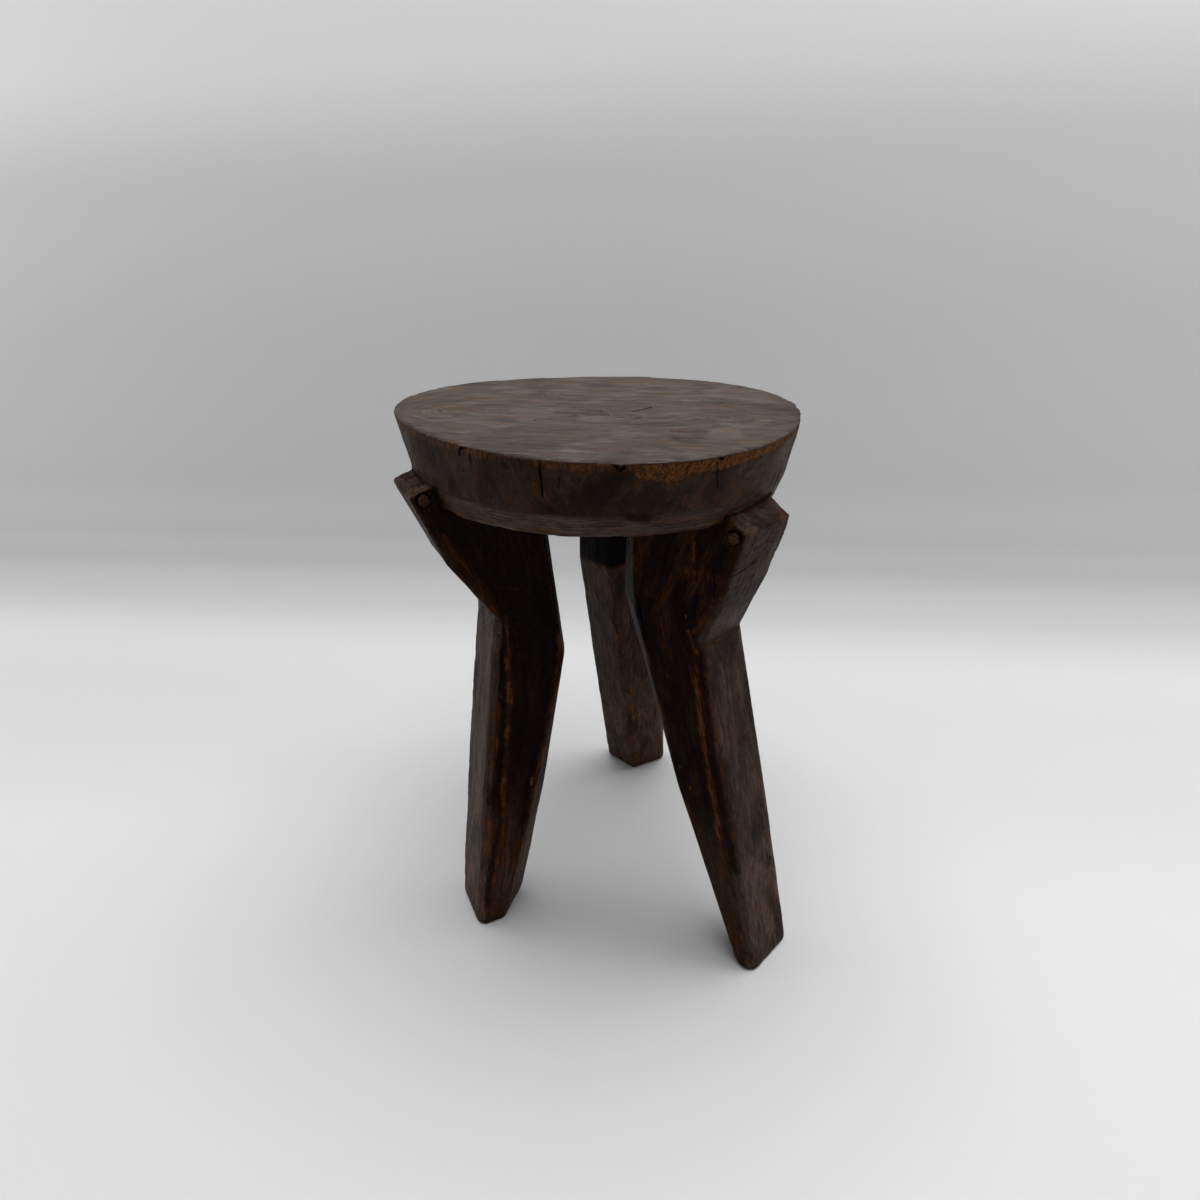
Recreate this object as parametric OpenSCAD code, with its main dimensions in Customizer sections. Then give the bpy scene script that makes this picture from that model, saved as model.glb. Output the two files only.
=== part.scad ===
// Three-legged hewn stool: a thick seat slab on three angular legs.
// Each leg is slotted over a tongue left under the seat and locked by one through peg.

/* [Seat] */
// Mean radius of the seat's rim
rim_r = 140.5; // [125:0.5:150]
// Height of the seat's top above the floor, on the seat's axis
seat_h = 399; // [370:1:440]
// Thickness of the seat slab
seat_t = 50; // [42:1:60]
// How far the seat's side draws in from the rim to the crease round it
crease_in = 10.5; // [6:0.5:18]
// Depth of the crease below the seat's top
crease_drop = 35; // [25:1:38]
// How far the seat's side draws in from the crease to the underside
under_in = 7.5; // [2:0.5:14]
// How far the three lobes of the hewn rim swell and fall
lobe = 6.9; // [0:0.1:8]
// Direction of the first lobe of the rim
lobe_az = 46; // [0:0.5:120]
// How far the rim is oval
oval = 3.4; // [0:0.1:6]
// Direction of the rim's long diameter
oval_az = 134.5; // [0:0.5:180]
// Share of the rim's lobes that is left at the crease
crease_share = 0.4; // [0:0.05:1]
// Share of the rim's lobes that is left at the underside
under_share = 0.15; // [0:0.05:1]
// How far the seat's middle stands off the axis that the legs share
seat_off = 2.1; // [0:0.1:4]
// Direction in which the seat's middle stands off
seat_off_az = 217; // [0:1:359]
// How far the seat leans out of level, in degrees
lean = 2.3; // [0:0.1:4]
// Direction towards which the seat is lowest
lean_az = 34; // [0:1:359]

/* [All legs] */
// Slope of the small facet on top of each shoulder
shoulder_slope = 17; // [5:1:25]
// How far the thigh's outer face is narrower at the shoulder than the leg, on each side
shoulder_taper = 0.5; // [0.5:0.5:4]
// Width of the small chamfers down the shin's outer edges, measured along its sides
arris = 5; // [2:0.5:8]
// Width of the same chamfers, measured along the outer face
arris_face = 5.2; // [2:0.1:8]
// Half width of the ridge's two facets at the knee
knee_facet = 13; // [9:0.5:17]

/* [Left leg] */
// Direction of the left leg from the seat's axis
left_az = 213; // [205:0.5:220]
// Half width of the left leg between its side faces
left_half = 25.5; // [25:0.5:29]
// How far the left shoulder stands out beyond the crease, and above the seat's underside
left_shoulder = [12.5, 16.5]; // [-6:0.5:16]
// Reach and height of the left leg's notch
left_notch = [94.5, 270.5]; // [60:1:320]
// Reach of the left foot's outer face
left_foot = 135.5; // [110:0.5:180]
// Reach of the left leg's inner ridge under the seat
left_top = 48; // [40:1:66]
// Reach and height of the left leg's knee
left_knee = [37, 222]; // [15:1:300]
// Reach of the left foot's inner ridge
left_heel = 90; // [70:0.5:130]
// How far the left leg's inner bevels run back from the ridge at the foot, the knee and the head
left_bevel = [24, 13, 12]; // [10:0.5:34]
// How far the left thigh's face, the shin's outer face and the shin's inner ridge swell
left_swell = [5, 1, 2.5]; // [0:0.5:8]

/* [Right leg] */
// Direction of the right leg from the seat's axis
right_az = 324.6; // [318:0.2:332]
// Half width of the right leg between its side faces
right_half = 25.5; // [25:0.5:29]
// How far the right shoulder stands out beyond the crease, and above the seat's underside
right_shoulder = [10, -3]; // [-6:0.5:16]
// Reach and height of the right leg's notch
right_notch = [107.5, 260]; // [60:0.5:320]
// Reach of the right foot's outer face
right_foot = 163; // [130:1:190]
// Reach of the right leg's inner ridge under the seat
right_top = 70; // [40:1:76]
// Reach and height of the right leg's knee
right_knee = [20.5, 277]; // [15:0.5:300]
// Reach of the right foot's inner ridge
right_heel = 128; // [95:0.5:145]
// How far the right leg's inner bevels run back from the ridge at the foot, the knee and the head
right_bevel = [21, 31, 21]; // [10:0.5:34]
// How far the right thigh's face, the shin's outer face and the shin's inner ridge swell
right_swell = [2, 1, 7]; // [0:0.5:8]

/* [Back leg] */
// Direction of the back leg from the seat's axis
back_az = 89; // [84:0.5:96]
// Half width of the back leg between its side faces
back_half = 29; // [25:0.5:30]
// How far the back shoulder stands out beyond the crease, and above the seat's underside
back_shoulder = [10.5, 5]; // [-6:0.5:16]
// Reach and height of the back leg's notch
back_notch = [101, 265]; // [60:1:320]
// Reach of the back foot's outer face
back_foot = 161; // [130:1:190]
// Reach of the back leg's inner ridge under the seat
back_top = 52; // [40:1:66]
// Reach and height of the back leg's knee
back_knee = [18, 271]; // [15:1:300]
// Reach of the back foot's inner ridge
back_heel = 124.5; // [95:0.5:145]
// How far the back leg's inner bevels run back from the ridge at the foot, the knee and the head
back_bevel = [21, 26, 26]; // [10:0.5:34]
// How far the back thigh's face, the shin's outer face and the shin's inner ridge swell
back_swell = [3, 1, 1.5]; // [0:0.5:8]

/* [Joints] */
// Thickness of the tongues under the seat
tongue_t = 18; // [12:1:24]
// Depth of the tongues below the seat's underside
tongue_drop = 30; // [20:1:40]
// How far the tongues' inner ends stop short of the legs' inner ridges
nose_gap = 0.6; // [0.3:0.1:3]
// Clearance round each tongue in its slot
tongue_gap = 0.2; // [0.1:0.05:0.5]
// Wood left between a slot and the thigh's outer face
slot_wall = 1.6; // [1.5:0.1:4]
// Wood left between a slot and the shoulder's top facet
slot_roof = 1.6; // [1.5:0.1:4]
// Radius of the locking pegs
peg_r = 4.2; // [3:0.1:5]
// Clearance round each peg in its hole
peg_gap = 0.08; // [0.05:0.01:0.1]
// How far each peg's ends stand out of the leg's sides
peg_proud = 2.5; // [0:0.5:6]
// Wood left on the tongue between the peg's hole and the tongue's end
tongue_end = 1.2; // [1:0.1:4]
// Bevel round each peg's ends
peg_bevel = 1; // [0.3:0.1:2]

/* [Hidden] */
// The origin is the middle of the stool's outline on the floor; the seat's axis stands here
axis_x = 1;
axis_y = -7.5;
// Step between the corners of the seat's outline
outline_step = 3.75;
// Thickness of the thin slices between which the seat and the legs are drawn
slice = 0.01;
// Reach inside the slab at which the tongues' sloping tops end
ear_in = 88;
// Sides of the pegs' and the bores' circles
round_fn = 64;
seat_colour = "#5b4637";
leg_colour = "#3c2a1f";
peg_colour = "#7a5a3c";

// A leg: direction, half width, shoulder, notch, foot, top, knee, heel, swells and bevels
LEFT = [
    left_az, left_half, left_shoulder, left_notch, left_foot,
    left_top, left_knee, left_heel, left_swell, left_bevel
];
RIGHT = [
    right_az, right_half, right_shoulder, right_notch, right_foot,
    right_top, right_knee, right_heel, right_swell, right_bevel
];
BACK = [
    back_az, back_half, back_shoulder, back_notch, back_foot,
    back_top, back_knee, back_heel, back_swell, back_bevel
];
LEGS = [LEFT, RIGHT, BACK];
function azimuth(leg) = leg[0];
function half(leg) = leg[1];
function shoulder(leg) = [crease_r, under_z] + leg[2];
function notch(leg) = leg[3];
function foot(leg) = leg[4];
function top_reach(leg) = leg[5];
function knee(leg) = leg[6];
function heel(leg) = leg[7];
function thigh_swell(leg) = leg[8][0];
function shin_swell(leg) = leg[8][1];
function ridge_swell(leg) = leg[8][2];
function foot_bevel(leg) = leg[9][0];
function knee_bevel(leg) = leg[9][1];
function head_bevel(leg) = leg[9][2];

// Radius of the hewn outline in one direction, with a share of the rim's lobes
function hewn(a, r, share) =
    r + share * (lobe * cos(3 * (a - lobe_az)) + oval * cos(2 * (a - oval_az)));

// Radii of the seat at the crease and at the underside
crease_r = rim_r - crease_in;
under_r = crease_r - under_in;

// Height of the seat's underside on its axis
under_z = seat_h - seat_t;

// Height inside the slab to which the legs' heads and the tongues are drawn
head_z = under_z + seat_t / 2;

// Outward normal of the thigh's slanted outer face, in the leg's own upright plane
function thigh_n(leg) =
    let (d = (notch(leg) - shoulder(leg)) / norm(notch(leg) - shoulder(leg)))
    [-d[1], d[0]];

// Upward normal of the shoulder's top facet, in the same plane
top_n = [sin(shoulder_slope), cos(shoulder_slope)];

// The point that lies so far inside the thigh's outer face and so far below the top facet
function inset(leg, from_face, from_top) =
    let (n = thigh_n(leg), det = n[0] * top_n[1] - n[1] * top_n[0])
    shoulder(leg) + [
        (from_top * n[1] - from_face * top_n[1]) / det,
        (from_face * top_n[0] - from_top * n[0]) / det
    ];

// Where a line parallel to the thigh's outer face, so far inside it, reaches a height
function thigh_line(leg, from_face, z) =
    let (s = shoulder(leg) - from_face * thigh_n(leg), d = notch(leg) - shoulder(leg))
    [s[0] + d[0] * (z - s[1]) / d[1], z];

// Where a line parallel to the top facet, so far below it, reaches a radius
function top_line(leg, from_top, r) =
    let (s = shoulder(leg) - from_top * top_n)
    [r, s[1] + (s[0] - r) * tan(shoulder_slope)];

// The peg stands inside the slot's end, with wood round its hole on the tongue and above it
peg_inset = slot_wall + tongue_gap + tongue_end + peg_r;
peg_depth = slot_roof + tongue_gap + peg_r;
function peg_at(leg) = inset(leg, peg_inset, peg_depth);

// Places children on the seat's axis
module on_axis() {
    translate([axis_x, axis_y, 0])
        children();
}

// Turns children from a leg's own plane, reach along +X, to the leg's direction
module at_leg(leg) {
    on_axis()
        rotate([0, 0, azimuth(leg)])
            children();
}

// Stands an outline of reach and height upright and gives it a thickness across the leg
module upright(thickness) {
    rotate([90, 0, 0])
        linear_extrude(height = thickness, center = true)
            children();
}

// One thin slice of the seat at a height above the underside
module seat_slice(z, r, share) {
    translate([0, 0, z])
        linear_extrude(height = slice)
            polygon([for (a = [0 : outline_step : 360 - outline_step])
                hewn(a, r, share) * [cos(a), sin(a)]]);
}

// The seat's slab, leaning a little: an upper bevel down to the crease and a lower one below
module slab() {
    on_axis()
        translate([seat_off * cos(seat_off_az), seat_off * sin(seat_off_az), under_z])
            rotate([0, 0, lean_az])
                rotate([0, lean, 0])
                    rotate([0, 0, -lean_az]) {
                        hull() {
                            seat_slice(seat_t - slice, rim_r, 1);
                            seat_slice(seat_t - crease_drop, crease_r, crease_share);
                        }
                        hull() {
                            seat_slice(seat_t - crease_drop, crease_r, crease_share);
                            seat_slice(0, under_r, under_share);
                        }
                    }
}

// A thin slice across a leg between two points of its own plane, the inner ridge and the
// outer face: the corners are listed by how far they lie from the ridge and to the side
module leg_slice(inner, outer, corners) {
    d = outer - inner;
    translate([inner[0], 0, inner[1]])
        rotate([0, -atan2(d[1], d[0]), 0])
            linear_extrude(height = slice)
                polygon(concat([[0, 0]], corners,
                    [for (i = [len(corners) - 1 : -1 : 0]) [corners[i][0], -corners[i][1]]]));
}

// The corner where the ridge's first facet ends, on the slope of the leg's shallowest bevel
function facet_corner(leg) = [knee_facet * min(leg[9]) / half(leg), knee_facet];

// The slice at the foot, flat on the floor
module foot_slice(leg) {
    width = foot(leg) - heel(leg);
    leg_slice([heel(leg), 0], [foot(leg), 0], [
        [foot_bevel(leg), half(leg)],
        [width - arris, half(leg)],
        [width, half(leg) - arris_face]
    ]);
}

// The slice halfway down the shin, where the outer face and the ridge swell most
module shin_slice(leg) {
    outer = ([foot(leg), 0] + notch(leg)) / 2 + [shin_swell(leg), 0];
    inner = ([heel(leg), 0] + knee(leg)) / 2 - [ridge_swell(leg), 0];
    width = norm(outer - inner);
    leg_slice(inner, outer, [
        facet_corner(leg),
        [(foot_bevel(leg) + knee_bevel(leg)) / 2, half(leg)],
        [width - arris, half(leg)],
        [width, half(leg) - arris_face]
    ]);
}

// The slice from the knee's ridge to the notch, where the leg bends
module knee_slice(leg) {
    width = norm(notch(leg) - knee(leg));
    leg_slice(knee(leg), notch(leg), [
        facet_corner(leg),
        [knee_bevel(leg), half(leg)],
        [width - arris, half(leg)],
        [width, half(leg) - arris_face]
    ]);
}

// The slice at the leg's head, inside the slab
module head_slice(leg) {
    edge = shoulder(leg)[0] - (head_z - shoulder(leg)[1]) / tan(shoulder_slope);
    leg_slice([top_reach(leg), head_z], [edge, head_z], [
        facet_corner(leg),
        [head_bevel(leg), half(leg)],
        [edge - top_reach(leg), half(leg) - shoulder_taper]
    ]);
}

// A thin bar across the leg, through a point of its own plane
module bar(at, half_length) {
    translate([at[0] - slice, -half_length, at[1] - slice])
        cube([slice, 2 * half_length, slice]);
}

// The leg before it is housed: the thigh above the bend and the shin below
module leg_body(leg) {
    hull() {
        head_slice(leg);
        bar(shoulder(leg), half(leg) - shoulder_taper);
        bar((shoulder(leg) + notch(leg)) / 2 + thigh_swell(leg) * thigh_n(leg),
            half(leg) - (shoulder_taper + arris_face) / 2);
        knee_slice(leg);
    }
    hull() {
        knee_slice(leg);
        shin_slice(leg);
        foot_slice(leg);
    }
}

// The slot in a leg's head, open towards the seat's middle, which the tongue fills
module slot(leg) {
    upright(tongue_t + 2 * tongue_gap)
        polygon([
            thigh_line(leg, slot_wall, under_z - tongue_drop - tongue_gap),
            inset(leg, slot_wall, slot_roof),
            top_line(leg, slot_roof, ear_in),
            [0, head_z],
            [0, under_z - tongue_drop - tongue_gap]
        ]);
}

// Everything outside the thigh's inner ridge, so that a tongue ends in the same two facets
module behind_ridge(leg) {
    d = [top_reach(leg), head_z] - knee(leg);
    translate([knee(leg)[0] + nose_gap, 0, knee(leg)[1]])
        rotate([0, atan2(d[0], d[1]), 0])
            linear_extrude(height = norm(d))
                polygon([
                    [0, 0],
                    [min(leg[9]), -half(leg)],
                    [rim_r, -half(leg)],
                    [rim_r, half(leg)],
                    [min(leg[9]), half(leg)]
                ]);
}

// The tongue under the seat, with its ear below the shoulder's top facet
module tongue(leg) {
    wall = slot_wall + tongue_gap;
    roof = slot_roof + tongue_gap;
    intersection() {
        upright(tongue_t)
            polygon([
                thigh_line(leg, wall, under_z - tongue_drop),
                inset(leg, wall, roof),
                top_line(leg, roof, ear_in),
                [ear_in, head_z],
                [0, head_z],
                [0, under_z - tongue_drop]
            ]);
        behind_ridge(leg);
    }
}

// The peg's hole, across the leg and the tongue and clear past both of the peg's ends
module peg_bore(leg) {
    p = peg_at(leg);
    translate([p[0], 0, p[1]])
        rotate([90, 0, 0])
            cylinder(r = peg_r + peg_gap, h = 2 * half(leg) + 4 * peg_proud, center = true, $fn = round_fn);
}

// The slab with its three tongues, each bored for its peg
module seat() {
    color(seat_colour)
        difference() {
            union() {
                slab();
                for (leg = LEGS)
                    at_leg(leg)
                        tongue(leg);
            }
            for (leg = LEGS)
                at_leg(leg)
                    peg_bore(leg);
        }
}

// A leg, housed round the seat's lower edge, slotted and bored
module leg(leg) {
    color(leg_colour)
        difference() {
            at_leg(leg)
                difference() {
                    leg_body(leg);
                    slot(leg);
                    peg_bore(leg);
                }
            slab();
        }
}

// A peg with bevelled ends
module peg(leg) {
    p = peg_at(leg);
    end = half(leg) + peg_proud;
    color(peg_colour)
        at_leg(leg)
            translate([p[0], 0, p[1]])
                rotate([90, 0, 0])
                    rotate_extrude($fn = round_fn)
                        polygon([
                            [0, -end],
                            [peg_r - peg_bevel, -end],
                            [peg_r, peg_bevel - end],
                            [peg_r, end - peg_bevel],
                            [peg_r - peg_bevel, end],
                            [0, end]
                        ]);
}

module leg_left() { leg(LEFT); }
module leg_right() { leg(RIGHT); }
module leg_back() { leg(BACK); }
module peg_left() { peg(LEFT); }
module peg_right() { peg(RIGHT); }
module peg_back() { peg(BACK); }

seat();
leg_left();
leg_right();
leg_back();
peg_left();
peg_right();
peg_back();
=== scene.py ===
"""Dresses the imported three-legged hewn stool: worn, smoke-darkened wood on a plain pale sweep.

Every piece starts from a copy of its CAD node, is remeshed finely enough to carry tool marks,
is worn, nicked and cracked in its mesh, and gets a procedural wood finish that reads the
piece's own grain, layer, patina and zone attributes. Lengths are in millimetres until a mesh
is written.
"""

import logging
import math
from dataclasses import dataclass, field, replace
from enum import Enum
from typing import Any, Iterable, Optional, Sequence

import bmesh
import bpy
import numpy as np
from mathutils import Matrix, Vector
from mathutils.bvhtree import BVHTree
from mathutils.kdtree import KDTree


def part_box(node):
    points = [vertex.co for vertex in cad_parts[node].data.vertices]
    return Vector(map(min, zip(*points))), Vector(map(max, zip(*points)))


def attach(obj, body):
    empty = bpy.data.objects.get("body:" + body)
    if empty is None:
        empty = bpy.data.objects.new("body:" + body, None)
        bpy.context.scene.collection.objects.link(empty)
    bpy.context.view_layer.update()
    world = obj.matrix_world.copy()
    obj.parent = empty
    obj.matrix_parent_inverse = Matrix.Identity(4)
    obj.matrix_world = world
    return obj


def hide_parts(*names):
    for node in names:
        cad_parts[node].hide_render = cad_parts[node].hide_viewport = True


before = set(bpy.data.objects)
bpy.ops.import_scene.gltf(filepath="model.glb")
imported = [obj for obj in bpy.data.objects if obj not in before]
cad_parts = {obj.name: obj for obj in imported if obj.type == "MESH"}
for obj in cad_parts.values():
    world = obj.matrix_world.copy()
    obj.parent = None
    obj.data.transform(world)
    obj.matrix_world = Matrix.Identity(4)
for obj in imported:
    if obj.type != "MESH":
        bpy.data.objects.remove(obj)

LOG = logging.getLogger("stool")
MM = 0.001
# Distance beyond which a neighbour no longer marks the wood
FAR = 12.0
# Spacing of a mark's points on the surface, and of the points along a sharp edge
STEP = 2.0
ARRIS_STEP = 1.5
# A mark this deep and this narrow gets finer faces, twice, out to these distances past its edge
CUT_DEPTH = 0.5
CUT_WIDTH = 2.5
CUT_SPARE = (1.6, 0.4)
# A mark's point further from the slab's axis than this is laid level onto its side
OUTSIDE = 170.0
# Height of the slab's top in its own frame
TOP_Z = 50.0

Array = np.ndarray
Point = tuple[float, float, float]
Socket = bpy.types.NodeSocket


def linear(code: str) -> tuple[float, float, float, float]:
    """Turns an sRGB hex colour into linear values.

    Args:
        code: The colour as "#rrggbb".

    Returns:
        Red, green, blue and an alpha of 1, linear.
    """
    values = [int(code[i : i + 2], 16) / 255 for i in (1, 3, 5)]
    r, g, b = (v / 12.92 if v <= 0.04045 else ((v + 0.055) / 1.055) ** 2.4 for v in values)
    return r, g, b, 1.0


def smooth(low: float, high: float, value: Array) -> Array:
    """Eases from 0 at low to 1 at high."""
    t = np.clip((value - low) / (high - low), 0, 1)
    return t * t * (3 - 2 * t)


def lattice(cell: Array, seed: int) -> Array:
    """Gives each whole-number cell a fixed number between 0 and 1.

    Args:
        cell: Whole-number cells, one row each.
        seed: Picks the set of numbers.

    Returns:
        One number for each row.
    """
    n = cell[:, 0] * 73856093 ^ cell[:, 1] * 19349663 ^ cell[:, 2] * 83492791 ^ (seed * 40503 + 977)
    n = (n ^ (n >> 13)) * 1274126177 & 0xFFFFFFFF
    n = (n ^ (n >> 15)) * 2246822519 & 0xFFFFFFFF
    return ((n ^ (n >> 16)) & 0xFFFF) / 65535.0


def noise(points: Array, size: Sequence[float], seed: int, octaves: int = 1) -> Array:
    """Smooth noise in space.

    Args:
        points: Points in millimetres, one row each.
        size: Size of one blob along x, y and z.
        seed: Picks the pattern.
        octaves: How many times finer detail at half the strength is added.

    Returns:
        Values between about -1 and 1.
    """
    total = np.zeros(len(points))
    weight = 0.0
    for octave in range(octaves):
        p = points / np.array(size) * 2**octave + 31.7 * octave
        cell = np.floor(p).astype(np.int64)
        f = p - cell
        f = f * f * f * (f * (f * 6 - 15) + 10)
        value = np.zeros(len(points))
        for corner in np.ndindex(2, 2, 2):
            share = np.prod(np.where(corner, f, 1 - f), axis=1)
            value += share * lattice(cell + np.array(corner), seed + octave)
        total += (2 * value - 1) * 0.5**octave
        weight += 0.5**octave
    return total / weight


def scallops(points: Array, size: Sequence[float], seed: int) -> Array:
    """Shallow overlapping scoops, as an adze or knife leaves them.

    Args:
        points: Points in millimetres, one row each.
        size: Size of one scoop along x, y and z.
        seed: Picks the pattern.

    Returns:
        Depth of the scoops, from 0 on the ridges between them to 1 at their middles.
    """
    p = points / np.array(size)
    cell = np.floor(p).astype(np.int64)
    best = np.full(len(points), 9.0)
    for step in np.ndindex(3, 3, 3):
        near = cell + np.array(step) - 1
        spot = near + np.stack([lattice(near, seed + k) for k in (1, 2, 3)], axis=1)
        best = np.minimum(best, ((p - spot) ** 2).sum(axis=1))
    return np.clip(1 - best, 0, 1)


def distance_to_path(points: Array, path: Array) -> Array:
    """Distance from each point to a line through several points.

    Args:
        points: Points, one row each.
        path: The line's points, one row each.

    Returns:
        One distance for each point.
    """
    if len(path) == 1:
        return np.linalg.norm(points - path[0], axis=1)
    best = np.full(len(points), np.inf)
    for a, b in zip(path[:-1], path[1:]):
        d = b - a
        t = np.clip(((points - a) @ d) / max(d @ d, 1e-9), 0, 1)
        best = np.minimum(best, np.linalg.norm(points - a - t[:, None] * d, axis=1))
    return best


def add_node(
    tree: bpy.types.NodeTree, kind: str, inputs: Optional[dict] = None, **settings: Any
) -> bpy.types.Node:
    """Adds a node with its settings and links.

    Args:
        tree: The material's or world's node tree.
        kind: The node's type name.
        inputs: Values or output sockets, by the input's name or number.
        settings: Attributes of the node.

    Returns:
        The new node.
    """
    node = tree.nodes.new(kind)
    for name, value in settings.items():
        setattr(node, name, value)
    for key, value in (inputs or {}).items():
        if isinstance(value, Socket):
            tree.links.new(value, node.inputs[key])
        else:
            node.inputs[key].default_value = value
    return node


class Channel(Enum):
    """What a mark does to the surface; the value is its place in the patina attribute."""

    WEAR = 0
    RAW = 1
    SOOT = 2
    CRACK = 3

    @property
    def firm(self) -> float:
        """Share of a mark's half width that it keeps at full strength."""
        return {Channel.WEAR: 0.15, Channel.CRACK: 0.5}.get(self, 0.35)


class Zone(Enum):
    """Where a layer of colour lies; the value is its place in the zone attribute."""

    FILM = 0
    WARM = 1
    LINES = 2
    SHEEN = 3
    ALL = 4


@dataclass(frozen=True)
class Mark:
    """A line or spot on a piece, in the piece's own frame, in millimetres.

    Args:
        channel: What the mark does.
        path: One point or more, laid onto the surface.
        width: Half width at which the mark fades out.
        strength: How much of the channel it adds.
        depth: How deep it is cut into the mesh.
        ragged: How far its edge wanders.
    """

    channel: Channel
    path: tuple[Point, ...]
    width: float
    strength: float = 1.0
    depth: float = 0.0
    ragged: float = 0.5


@dataclass(frozen=True)
class Layer:
    """One colour that lies over the wood in streaks along its grain.

    Args:
        colour: The layer's colour.
        zone: The part of the surface that it lies on.
        along: Length of a streak, in millimetres.
        across: Width of a streak, in millimetres.
        low: Noise level at which it starts to show.
        high: Noise level at which it is full.
        share: How much of it shows where it is full.
        detail: How many finer octaves its noise has.
        bend: How far the streaks wander.
    """

    colour: str
    zone: Zone
    along: float
    across: float
    low: float
    high: float
    share: float
    detail: float = 3.0
    bend: float = 0.0


# Flakes of film left on rubbed wood, and the grit of broken wood: only their patterns are used
FLAKES = Layer("#000000", Zone.ALL, 20, 1.5, 0.36, 0.64, 1.0, 4.0, 0.3)
SPECKS = Layer("#000000", Zone.ALL, 1.3, 0.9, 0.40, 0.60, 1.0, 2.0)


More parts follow.
